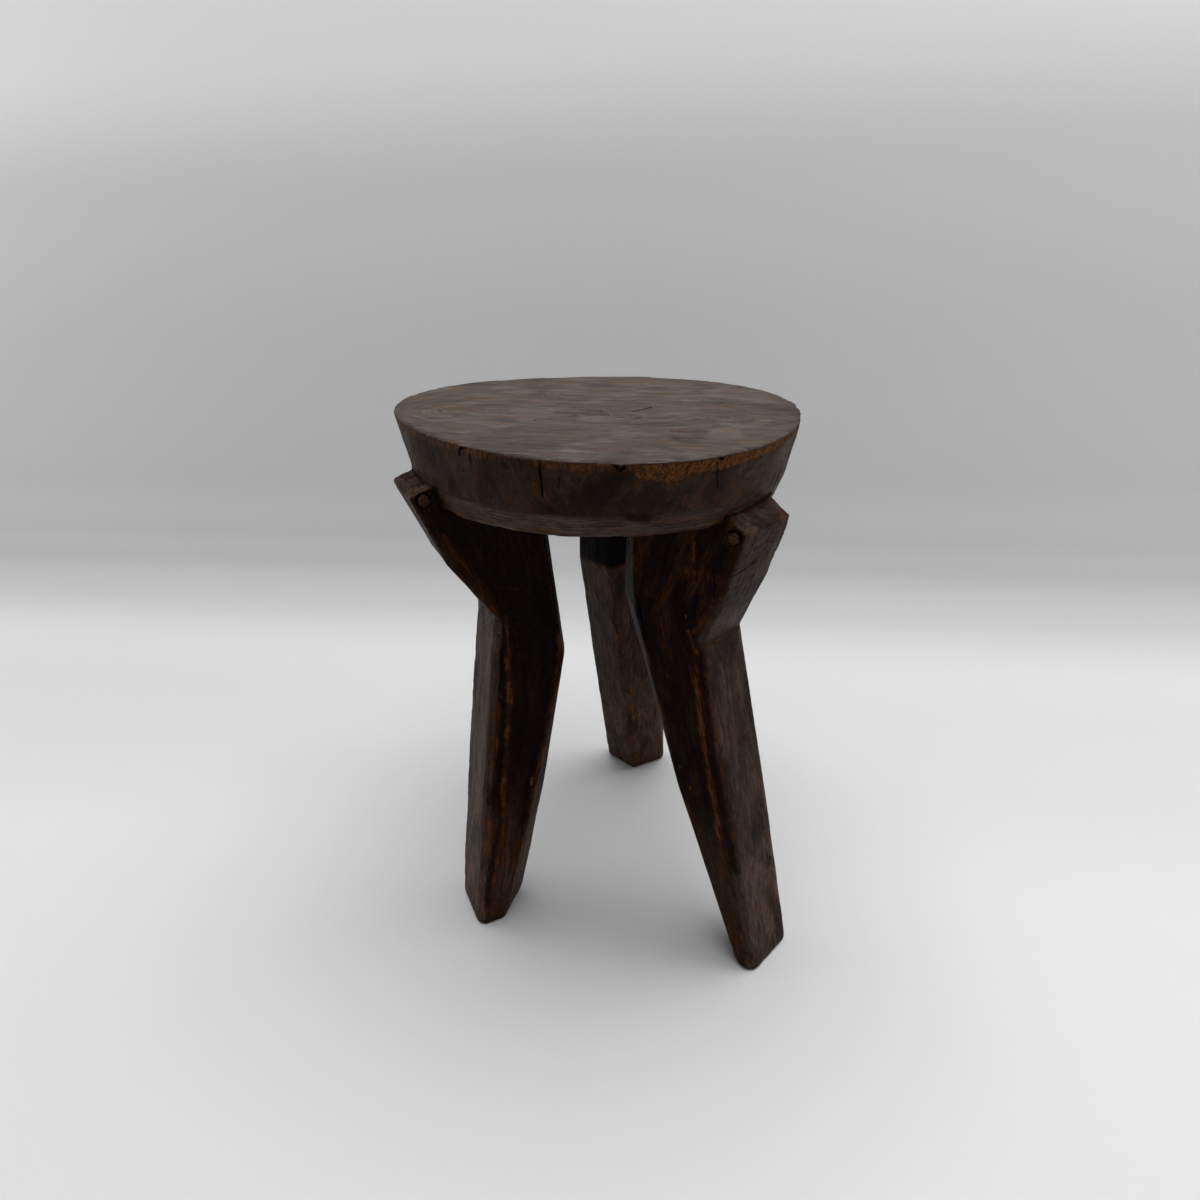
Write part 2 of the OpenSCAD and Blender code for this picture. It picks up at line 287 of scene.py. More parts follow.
@dataclass(frozen=True)
class WoodFinish:
    """Old hardwood, hewn by hand and darkened by smoke, grease and handling.

    To the eye it is a near-black core under a greyish brown film of handling in long streaks,
    reddish brown where arrises are rubbed through, with dark pores along the grain and a
    soft gloss where hands have been.

    Args:
        name: The material's name.
        core: Colour of the smoke-dark wood under everything else.
        layers: Colours laid over it, in order.
        fibres: The fine dark fibres, which are also in relief.
        pores: The short dark pores, which are also in relief.
        worn: Colour where an arris is rubbed through.
        worn_deep: Colour at the ragged edge of such a place.
        raw: Colour of bare, broken wood.
        soot_and_shade: Colour of soot and cracks, and of the painted shade in corners, under the seat and
            on the thighs.
        ring: Spacing of the growth rings' dark lines, in millimetres.
        ring_share: How strongly the growth rings show.
        gloss: Roughness of the bare surface.
        relief: Depth of the fibres' relief, in millimetres.
        shine: Specular level of the bare surface; soot and dust leave it far below clean wood.
    """

    name: str
    core: str
    layers: tuple[Layer, ...]
    fibres: Layer
    pores: Layer
    worn: str
    worn_deep: str
    raw: str
    soot_and_shade: str = "#080504"
    ring: float = 4.0
    ring_share: float = 0.5
    gloss: float = 0.45
    relief: float = 0.26
    shine: float = 0.05

    @staticmethod
    def streaks(tree: bpy.types.NodeTree, grain: Socket, layer: Layer) -> Socket:
        """Adds a layer's noise, stretched along the grain and eased between its two levels.

        Args:
            tree: The material's node tree.
            grain: The grain coordinates, in millimetres.
            layer: The layer.

        Returns:
            The socket with values from 0 to 1.
        """
        scale = (1 / layer.along, 1 / layer.across, 1 / layer.across)
        place = add_node(tree, "ShaderNodeMapping", {"Vector": grain, "Scale": scale})
        cloud = add_node(tree, "ShaderNodeTexNoise", {
            "Vector": place.outputs[0], "Scale": 1.0, "Detail": layer.detail, "Roughness": 0.6,
            "Distortion": layer.bend,
        })
        ease = add_node(tree, "ShaderNodeMapRange", {
            "Value": cloud.outputs["Fac"], "From Min": layer.low, "From Max": layer.high,
        }, interpolation_type="SMOOTHSTEP")
        return ease.outputs[0]

    @staticmethod
    def veil(tree: bpy.types.NodeTree, under: Any, over: Any, *shares: Any) -> Socket:
        """Lays a colour over another one by the product of several shares.

        Args:
            tree: The material's node tree.
            under: The colour below, as a socket or linear values.
            over: The colour above.
            shares: Numbers or sockets from 0 to 1.

        Returns:
            The socket with the colour.
        """
        share = shares[0]
        for other in shares[1:]:
            product = add_node(tree, "ShaderNodeMath", {0: share, 1: other}, operation="MULTIPLY")
            share = product.outputs[0]
        mix = add_node(tree, "ShaderNodeMix", {0: share, 6: under, 7: over}, data_type="RGBA")
        return mix.outputs[2]

    @staticmethod
    def broken(tree: bpy.types.NodeTree, mask: Socket, grit: Socket, low: float, high: float) -> Socket:
        """Breaks a mask's soft edge up into crisp grains.

        Args:
            tree: The material's node tree.
            mask: The soft mask.
            grit: The grains, from 0 to 1.
            low: Sum at which the mask starts.
            high: Sum at which it is full.

        Returns:
            The socket with the broken mask.
        """
        total = add_node(tree, "ShaderNodeMath", {0: grit, 1: 0.33, 2: mask}, operation="MULTIPLY_ADD")
        ease = add_node(tree, "ShaderNodeMapRange", {
            "Value": total.outputs[0], "From Min": low, "From Max": high,
        }, interpolation_type="SMOOTHSTEP")
        return ease.outputs[0]

    @staticmethod
    def channels(tree: bpy.types.NodeTree, name: str) -> list[Socket]:
        """Reads the four values of one of the mesh's own colour attributes."""
        read = add_node(tree, "ShaderNodeAttribute", attribute_name=name)
        split = add_node(tree, "ShaderNodeSeparateColor", {0: read.outputs["Color"]})
        return [*split.outputs, read.outputs["Alpha"]]

    def rings(self, tree: bpy.types.NodeTree, grain: Socket) -> Socket:
        """Adds the growth rings: thin dark lines at an uneven spacing.

        Args:
            tree: The material's node tree.
            grain: The grain coordinates, in millimetres.

        Returns:
            The socket with values from 0 between the lines to 1 on them.
        """
        layer = add_node(tree, "ShaderNodeAttribute", attribute_name="layer").outputs["Fac"]
        place = add_node(tree, "ShaderNodeMapping", {"Vector": grain, "Scale": (0.012, 0.035, 0.035)})
        wander = add_node(tree, "ShaderNodeTexNoise", {
            "Vector": place.outputs[0], "Scale": 1.0, "Detail": 4.0, "Roughness": 0.6,
        })
        turns = add_node(tree, "ShaderNodeMath", {
            0: layer, 1: 1 / self.ring, 2: wander.outputs["Fac"],
        }, operation="MULTIPLY_ADD")
        more = add_node(tree, "ShaderNodeMath", {
            0: wander.outputs["Fac"], 1: 5.0, 2: turns.outputs[0],
        }, operation="MULTIPLY_ADD")
        saw = add_node(tree, "ShaderNodeMath", {0: more.outputs[0]}, operation="FRACT")
        line = add_node(tree, "ShaderNodeMapRange", {
            "Value": saw.outputs[0], "From Min": 0.55, "From Max": 0.95,
        }, interpolation_type="SMOOTHSTEP")
        return line.outputs[0]

    def material(self) -> bpy.types.Material:
        """Builds the node material.

        Returns:
            The material, ready for a piece that has grain, layer, patina and zone attributes.
        """
        made = bpy.data.materials.new(self.name)
        made.use_nodes = True
        tree = made.node_tree
        tree.nodes.clear()
        grain = add_node(tree, "ShaderNodeAttribute", attribute_name="grain").outputs["Vector"]
        wear, raw, soot_and_shade, crack = self.channels(tree, "patina_and_shade")
        zones = self.channels(tree, "zone")

        colour: Any = linear(self.core)
        for layer in self.layers:
            shares = [self.streaks(tree, grain, layer), layer.share]
            if layer.zone is not Zone.ALL:
                shares.append(zones[layer.zone.value])
            colour = self.veil(tree, colour, linear(layer.colour), *shares)
        rings = self.rings(tree, grain)
        colour = self.veil(tree, colour, linear(self.core), rings, zones[Zone.LINES.value], self.ring_share)
        fibres = self.streaks(tree, grain, self.fibres)
        colour = self.veil(tree, colour, linear(self.fibres.colour), fibres, self.fibres.share)
        pores = self.streaks(tree, grain, self.pores)
        colour = self.veil(tree, colour, linear(self.pores.colour), pores, self.pores.share)

        flakes = self.streaks(tree, grain, FLAKES)
        specks = self.streaks(tree, grain, SPECKS)
        grit = add_node(tree, "ShaderNodeMath", {0: fibres, 1: -0.35, 2: flakes}, operation="MULTIPLY_ADD")
        halo = self.broken(tree, wear, grit.outputs[0], 0.34, 1.05)
        colour = self.veil(tree, colour, linear(self.worn_deep), halo, 0.85)
        core = self.broken(tree, wear, grit.outputs[0], 0.80, 1.30)
        colour = self.veil(tree, colour, linear(self.worn), core, 0.85)
        bare = self.veil(tree, linear(self.raw), linear(self.worn_deep), specks, 0.8)
        bare = self.veil(tree, bare, linear(self.core), fibres, 0.45)
        colour = self.veil(tree, colour, bare, self.broken(tree, raw, grit.outputs[0], 0.38, 0.90))
        # Soot, stains and the painted shade in corners, under the seat and on the thighs darken to the soot
        # colour
        colour = self.veil(tree, colour, linear(self.soot_and_shade), soot_and_shade)
        colour = self.veil(tree, colour, linear(self.soot_and_shade), crack)

        # Fibres, bare wood and pores each make the surface duller by their share
        dull: Any = self.gloss
        for mask, share in ((fibres, 0.12), (raw, 0.3), (pores, 0.15)):
            dull = add_node(tree, "ShaderNodeMath", {
                0: mask, 1: share, 2: dull,
            }, operation="MULTIPLY_ADD").outputs[0]
        coat = add_node(tree, "ShaderNodeMath", {
            0: add_node(tree, "ShaderNodeMath", {0: raw, 1: soot_and_shade}, operation="MAXIMUM").outputs[0],
            1: -1.0, 2: 1.0,
        }, operation="MULTIPLY_ADD", use_clamp=True)
        coat = add_node(tree, "ShaderNodeMath", {
            0: coat.outputs[0], 1: zones[Zone.SHEEN.value],
        }, operation="MULTIPLY")
        # Fibres, pores and the grit of broken wood lie below the surface by their share of the relief
        grains = add_node(tree, "ShaderNodeMath", {0: raw, 1: specks}, operation="MULTIPLY").outputs[0]
        height: Any = 1.0
        for mask, share in ((fibres, -0.5), (pores, -0.6), (grains, -1.2)):
            height = add_node(tree, "ShaderNodeMath", {
                0: mask, 1: share, 2: height,
            }, operation="MULTIPLY_ADD").outputs[0]
        bump = add_node(tree, "ShaderNodeBump", {
            "Height": height, "Distance": self.relief * MM, "Strength": 1.0,
        })
        shader = add_node(tree, "ShaderNodeBsdfPrincipled", {
            "Base Color": colour, "Roughness": dull, "Normal": bump.outputs[0], "IOR": 1.5,
            "Specular IOR Level": self.shine, "Coat Weight": coat.outputs[0], "Coat Roughness": 0.32,
            "Coat IOR": 1.5,
        })
        add_node(tree, "ShaderNodeOutputMaterial", {"Surface": shader.outputs[0]})
        return made


# The seat's hardwood: a grey-brown handled film in long mottled streaks over dark brown
SEAT_WOOD = WoodFinish(
    "HewnSeatHandled", core="#1c110b", worn="#5f3b20", worn_deep="#352011", raw="#744825",
    layers=(
        Layer("#44382f", Zone.FILM, 60, 31, 0.28, 0.56, 1.0, 4.0, 0.6),
        Layer("#574533", Zone.FILM, 50, 21, 0.45, 0.64, 0.70, 3.0, 0.7),
        Layer("#5d554f", Zone.FILM, 48, 25, 0.45, 0.64, 0.70, 3.0, 1.1),
        Layer("#292426", Zone.FILM, 38, 22, 0.50, 0.66, 0.75, 3.0, 1.5),
        Layer("#4a2e1a", Zone.WARM, 30, 13, 0.46, 0.64, 0.70, 3.0, 0.8),
        Layer("#7b6c5f", Zone.FILM, 26, 1.3, 0.55, 0.67, 0.26, 2.0),
    ),
    fibres=Layer("#1c120b", Zone.ALL, 28, 1.5, 0.50, 0.64, 0.32),
    pores=Layer("#0f0906", Zone.ALL, 7, 0.9, 0.62, 0.68, 0.50, 1.0), shine=0.025,
)
# The same wood on the legs, blackened by smoke, with rubbed red-brown arrises
LEG_WOOD = WoodFinish(
    "HewnLegSmoked", core="#0c0504", worn="#6a3b19", worn_deep="#3c2010", raw="#7a4a22", soot_and_shade="#030101",
    layers=(
        Layer("#4d3b32", Zone.FILM, 60, 18, 0.30, 0.56, 1.0, 4.0, 0.5),
        Layer("#40240f", Zone.WARM, 40, 13, 0.44, 0.64, 0.85, 4.0, 0.8),
        Layer("#675142", Zone.FILM, 44, 9, 0.50, 0.66, 0.45, 4.0, 0.4),
        Layer("#1c1210", Zone.FILM, 34, 14, 0.52, 0.66, 0.65, 4.0, 0.9),
        Layer("#573115", Zone.WARM, 24, 2.2, 0.54, 0.68, 0.45, 3.0, 0.3),
        Layer("#7b6556", Zone.FILM, 20, 1.1, 0.58, 0.68, 0.30, 2.0),
    ),
    fibres=Layer("#090403", Zone.ALL, 30, 1.5, 0.49, 0.64, 0.42),
    pores=Layer("#040202", Zone.ALL, 8, 0.9, 0.61, 0.67, 0.55, 1.0), ring=6.5, ring_share=0.35, shine=0.02,
)
# Whittled pegs, whose ends show end grain darkened by hands
PEG_WOOD = WoodFinish(
    "WhittledPegEnd", core="#23150d", worn="#6b4226", worn_deep="#452a17", raw="#84572f",
    layers=(
        Layer("#40342c", Zone.FILM, 6, 3, 0.35, 0.6, 0.9, 4.0, 0.5),
        Layer("#5d3a1f", Zone.WARM, 5, 2.5, 0.4, 0.6, 0.9, 4.0, 0.5),
    ),
    fibres=Layer("#1a0f09", Zone.ALL, 2, 0.9, 0.50, 0.62, 0.50),
    pores=Layer("#0c0705", Zone.ALL, 1.2, 0.7, 0.62, 0.68, 0.50, 1.0), ring=1.6, ring_share=0.4,
)


@dataclass
class HewnPiece:
    """A CAD node dressed as hand-hewn wood.

    Args:
        node: Name of the CAD node that it stands for.
        slot: The record's material slot.
        finish: The wood finish.
        neighbours: CAD nodes that touch it.
        voxel: Size of the remeshed faces.
        rounding: How many times the whole mesh is relaxed, which eases its arrises.
        press: How far a face that meets a neighbour is sunk into it, so the seam stays shut.
        frayed: How far from a seam its fibres are frayed.
        fray: How strongly they are.
        spare: How far the blank is swollen before it is worked, so that it keeps its size.
        swell: Size of the slow waves that the first hewing left.
        scoop: Size of one scoop of the adze.
        scooped: Depth of the scoops.
        marks: Cracks, stains and rubbed lines, in the piece's own frame.
        seed: Picks the tool marks.
    """

    node: str
    slot: str
    finish: WoodFinish
    neighbours: tuple[str, ...]
    voxel: float = 1.2
    rounding: int = 3
    press: float = 1.2
    frayed: float = 9.0
    fray: float = 1.0
    spare: float = 0.9
    swell: Point = (40.0, 40.0, 70.0)
    scoop: Point = (18.0, 18.0, 40.0)
    scooped: float = 0.55
    marks: tuple[Mark, ...] = ()
    seed: int = 1

    def to_world(self, points: Array) -> Array:
        """Turns points from the piece's own frame into the stool's frame."""
        return points

    def to_local(self, points: Array) -> Array:
        """Turns points from the stool's frame into the piece's own frame."""
        return points

    def hewing(self, normal: Array, local: Array, edge: Array) -> Array:
        """How far each point is worked inwards by tools and wear."""
        raise NotImplementedError

    def grain(self, local: Array, normal: Array) -> Array:
        """Grain coordinates of each point."""
        raise NotImplementedError

    def layer(self, local: Array) -> Array:
        """Growth distance of each point, which spaces the rings."""
        raise NotImplementedError

    def zones(self, local: Array, normal: Array) -> Array:
        """Shares of film, warmth, ring lines and sheen over the surface."""
        raise NotImplementedError

    def softness(self, local: Array) -> Array:
        """How many more times the mesh is relaxed at each point, which rounds a tip."""
        return np.zeros(len(local))

    def along_seam(self, local: Array) -> Array:
        """Coordinates whose second one runs along the seam with a neighbour."""
        return local

    def touch(self, patina_and_shade: Array, depth: Array, local: Array, normal: Array) -> None:
        """Adds the wear, damage and painted shade that only this kind of piece has."""

    def lay(self, surface: BVHTree, point: Array) -> Array:
        """Lays one point of a mark on the surface."""
        world = self.to_world(point[None])[0]
        return np.array(surface.find_nearest(Vector(world) * MM)[0]) / MM

    def snapped(self, surface: BVHTree, mark: Mark) -> Array:
        """Lays a mark's line on the surface.

        Args:
            surface: The piece's surface, in metres.
            mark: The mark.

        Returns:
            The line's points in millimetres in the stool's frame, about STEP apart.
        """
        corners = np.array(mark.path, float)
        line = [corners[0]]
        for a, b in zip(corners[:-1], corners[1:]):
            count = max(1, int(np.linalg.norm(b - a) / STEP))
            line.extend(a + (b - a) * (k + 1) / count for k in range(count))
        return np.array([self.lay(surface, p) for p in line])

    def merged_copy(self) -> bmesh.types.BMesh:
        """Copies the CAD node's mesh with its loose triangles merged.

        Returns:
            The copy, in metres.
        """
        bm = bmesh.new()
        bm.from_mesh(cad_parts[self.node].data)
        bmesh.ops.remove_doubles(bm, verts=bm.verts, dist=2e-6)
        return bm

    def arrises(self, bm: bmesh.types.BMesh, least: float = 14.0) -> tuple[Array, Array]:
        """Finds points along the CAD copy's sharp edges.

        Args:
            bm: The merged CAD copy.
            least: Least angle between the two faces, in degrees.

        Returns:
            Points along outward edges and points along inward edges, in millimetres.
        """
        outward = [np.zeros((0, 3))]
        inward = [np.zeros((0, 3))]
        for edge in bm.edges:
            if len(edge.link_faces) != 2:
                continue
            angle = edge.calc_face_angle_signed(0.0)
            if abs(angle) < math.radians(least):
                continue
            a, b = (np.array(v.co) / MM for v in edge.verts)
            count = max(2, int(np.linalg.norm(b - a) / ARRIS_STEP) + 1)
            line = a + np.linspace(0, 1, count)[:, None] * (b - a)
            (outward if angle > 0 else inward).append(line)
        return np.vstack(outward), np.vstack(inward)

    def relax(self, bm: bmesh.types.BMesh, verts: Sequence[bmesh.types.BMVert]) -> None:
        """Moves vertices halfway to the middle of their neighbours.

        Args:
            bm: The mesh.
            verts: The vertices that move.
        """
        bmesh.ops.smooth_vert(
            bm, verts=verts, factor=0.5, use_axis_x=True, use_axis_y=True, use_axis_z=True
        )

    def remeshed(self, bm: bmesh.types.BMesh) -> bmesh.types.BMesh:
        """Turns the CAD copy into an even mesh of small faces with eased arrises and tips.

        Args:
            bm: The merged CAD copy, which is freed.

        Returns:
            The new mesh.
        """
        mesh = bpy.data.meshes.new(self.node + "_blank")
        bm.to_mesh(mesh)
        bm.free()
        blank = bpy.data.objects.new(self.node + "_blank", mesh)
        bpy.context.scene.collection.objects.link(blank)
        remesh = blank.modifiers.new("Even", "REMESH")
        remesh.mode = "VOXEL"
        remesh.voxel_size = self.voxel * MM
        done = bpy.data.meshes.new_from_object(blank.evaluated_get(bpy.context.evaluated_depsgraph_get()))
        even = bmesh.new()
        even.from_mesh(done)
        bpy.data.objects.remove(blank)
        bpy.data.meshes.remove(mesh)
        bpy.data.meshes.remove(done)
        for _ in range(self.rounding):
            self.relax(even, even.verts)
        even.verts.ensure_lookup_table()
        local = self.to_local(np.array([v.co for v in even.verts]) / MM)
        passes = self.softness(local)
        for turn in range(int(np.ceil(passes.max()))):
            self.relax(even, [even.verts[i] for i in np.flatnonzero(passes > turn)])
        return even

    def refine(self, bm: bmesh.types.BMesh, lines: Iterable[tuple[Mark, Array]]) -> None:
        """Cuts the faces near each cut mark finer, so that a narrow crack has room in the mesh.

        Args:
            bm: The mesh.
            lines: Marks with their laid lines.
        """
        cuts = [(mark, line) for mark, line in lines if mark.depth >= CUT_DEPTH and mark.width < CUT_WIDTH]
        if not cuts:
            return
        for spare in CUT_SPARE:
            co = np.array([v.co for v in bm.verts]) / MM
            near = np.zeros(len(co), bool)
            for mark, line in cuts:
                near |= distance_to_path(co, line) < mark.width + spare
            bm.verts.index_update()
            edges = [e for e in bm.edges if near[e.verts[0].index] and near[e.verts[1].index]]
            bmesh.ops.subdivide_edges(bm, edges=edges, cuts=1, use_grid_fill=True)

    def contact(self, co: Array) -> Array:
        """Measures how near each point is to the neighbouring CAD nodes.

        Args:
            co: Points in millimetres.

        Returns:
            The distance to the nearest neighbour, at most FAR.
        """
        joint = np.full(len(co), FAR)
        for name in self.neighbours:
            bm = bmesh.new()
            bm.from_mesh(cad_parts[name].data)
            tree = BVHTree.FromBMesh(bm)
            bm.free()
            low, high = (np.array(c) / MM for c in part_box(name))
            inside = ((co > low - FAR) & (co < high + FAR)).all(axis=1)
            for i in np.flatnonzero(inside):
                hit = tree.find_nearest(Vector(co[i]) * MM, FAR * MM)
                if hit[0] is not None:
                    joint[i] = min(joint[i], hit[3] / MM)
        return joint

    @staticmethod
    def near(co: Array, points: Array, reach: float = FAR) -> Array:
        """Distance to the nearest of many points.

        Args:
            co: Points in millimetres.
            points: The points measured to.
            reach: Greatest distance that matters.

        Returns:
            One distance for each point, at most reach.
        """
        if len(points) == 0:
            return np.full(len(co), reach)
        tree = KDTree(len(points))
        for i, p in enumerate(points):
            tree.insert(Vector(p), i)
        tree.balance()
        return np.array([min(reach, tree.find(Vector(p))[2]) for p in co])

    def arris_wear(self, local: Array, edge: Array) -> Array:
        """How far each point is rubbed through, near the outward arrises.

        Args:
            local: The points in the piece's own frame.
            edge: Distance to the nearest outward arris.

        Returns:
            Wear from 0 to 1.
        """
        patches = smooth(-0.35, 0.5, noise(local, (13, 13, 24), self.seed + 60, 3))
        core = smooth(2.2, 0.2, edge) * (0.30 + 0.65 * patches)
        halo = 0.80 * smooth(7.5, 0.5, edge + 2.5 * noise(local, (6, 6, 14), self.seed + 61, 2)) * patches
        return np.maximum(core, halo)

    def seam(self, patina_and_shade: Array, depth: Array, local: Array, joint: Array) -> None:
        """Marks the seams with the neighbours: frayed brown fibres with dark splits in them.

        Args:
            patina_and_shade: The patina values, changed in place.
            depth: How far each point is worked inwards, changed in place.
            local: The points in the piece's own frame.
            joint: Distance to the nearest neighbour.
        """
        place = self.along_seam(local)
        fibre = noise(place, (3.0, 18.0, 2.6), self.seed + 65, 3)
        wide = self.frayed
        close = smooth(wide, 0.25 * wide, joint + 0.4 * wide * noise(local, (9, 9, 9), self.seed + 66, 2))
        split = close * smooth(0.11, 0.02, np.abs(noise(place, (3.2, 26.0, 3.0), self.seed + 67, 2)))
        frayed = close * self.fray * (0.50 + 0.45 * smooth(-0.3, 0.4, fibre))
        patina_and_shade[:, 0] = np.maximum(patina_and_shade[:, 0], frayed)
        patina_and_shade[:, 3] = np.maximum(patina_and_shade[:, 3], 0.8 * split)
        patina_and_shade[:, 3] = np.maximum(patina_and_shade[:, 3], smooth(1.7, 0.6, joint))
        depth += 0.6 * split + 0.4 * close * smooth(0.0, 0.5, -fibre)

    def build(self) -> bpy.types.Object:
        """Builds, wears and dresses the piece.

        Returns:
            The finished object.
        """
        bm = self.merged_copy()
        outer, inner = self.arrises(bm)
        surface = BVHTree.FromBMesh(bm)
        lines = [(mark, self.snapped(surface, mark)) for mark in self.marks]
        bm = self.remeshed(bm)
        self.refine(bm, lines)
        bm.normal_update()
        co = np.array([v.co for v in bm.verts]) / MM
        normal = np.array([v.normal for v in bm.verts])
        local = self.to_local(co)
        local_normal = self.to_local(co + normal) - local
        joint = self.contact(co)
        edge = self.near(co, outer)
        corner = self.near(co, inner)

        depth = self.hewing(local_normal, local, edge) - self.spare
        patina_and_shade = np.zeros((len(co), 4))
        patina_and_shade[:, 0] = self.arris_wear(local, edge)
        # Painted shade: the wood darkens near inward edges and creases, where shade gathers
        patina_and_shade[:, 2] = 0.7 * smooth(5.0, 0.6, corner) * (0.6 + 0.4 * noise(co, (6, 6, 6), self.seed + 70))
        self.touch(patina_and_shade, depth, local, local_normal)
        self.seam(patina_and_shade, depth, local, joint)
        wander = np.stack([noise(co, (3, 3, 3), self.seed + 80 + k, 2) for k in range(3)], axis=1)
        fading = 0.75 + 0.45 * smooth(-0.4, 0.3, noise(co, (9, 9, 9), self.seed + 84, 3))
        for mark, line in lines:
            reach = mark.width + 2 * mark.ragged + 1
            low, high = line.min(axis=0) - reach, line.max(axis=0) + reach
            inside = np.flatnonzero(((co > low) & (co < high)).all(axis=1))
            away = distance_to_path(co[inside] + mark.ragged * wander[inside], line)
            share = mark.strength * smooth(mark.width, mark.width * mark.channel.firm, away)
            if mark.channel is Channel.WEAR:
                share *= fading[inside]
            k = mark.channel.value
            patina_and_shade[inside, k] = np.maximum(patina_and_shade[inside, k], share)
            depth[inside] += mark.depth * smooth(mark.width, 0.0, away)
        pressed = smooth(0.45, 0.25, joint)
        depth *= smooth(0.5, 2.0, joint)
        co = co + normal * (self.press * pressed - depth * (1 - pressed))[:, None]
        co = np.clip(co, *(np.array(c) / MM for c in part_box(self.node)))

        for vert, place in zip(bm.verts, co * MM):
            vert.co = place
        mesh = bpy.data.meshes.new(self.node + "_wood")
        bm.to_mesh(mesh)
        bm.free()
        self.write(mesh, "grain", "FLOAT_VECTOR", "vector", self.grain(local, local_normal))
        self.write(mesh, "layer", "FLOAT", "value", self.layer(local))
        self.write(mesh, "patina_and_shade", "FLOAT_COLOR", "color", np.clip(patina_and_shade, 0, 1))
        self.write(mesh, "zone", "FLOAT_COLOR", "color", np.clip(self.zones(local, local_normal), 0, 1))
        return self.dressed(mesh, "hewn_", self.node, self.slot, self.finish)

    @staticmethod
    def write(mesh: bpy.types.Mesh, name: str, kind: str, key: str, values: Array) -> None:
        """Writes one attribute of a mesh's points."""
        attribute = mesh.attributes.new(name, kind, "POINT")
        attribute.data.foreach_set(key, values.astype(np.float32).ravel())

    @staticmethod
    def dressed(
        mesh: bpy.types.Mesh, prefix: str, node: str, slot: str, finish: WoodFinish
    ) -> bpy.types.Object:
        """Makes the finished mesh into the object that stands for its CAD node.

        Args:
            mesh: The finished mesh.
            prefix: Start of the object's name.
            node: The CAD node's name.
            slot: The record's material slot; not used.
            finish: The wood finish.

        Returns:
            The object.
        """
        mesh.shade_smooth()
        mesh.materials.append(finish.material())
        piece = bpy.data.objects.new(prefix + node, mesh)
        bpy.context.scene.collection.objects.link(piece)
        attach(piece, "root")
        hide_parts(node)
        triangles = sum(len(p.vertices) - 2 for p in mesh.polygons)
        LOG.info("%s: %d vertices, %d triangles", piece.name, len(mesh.vertices), triangles)
        return piece


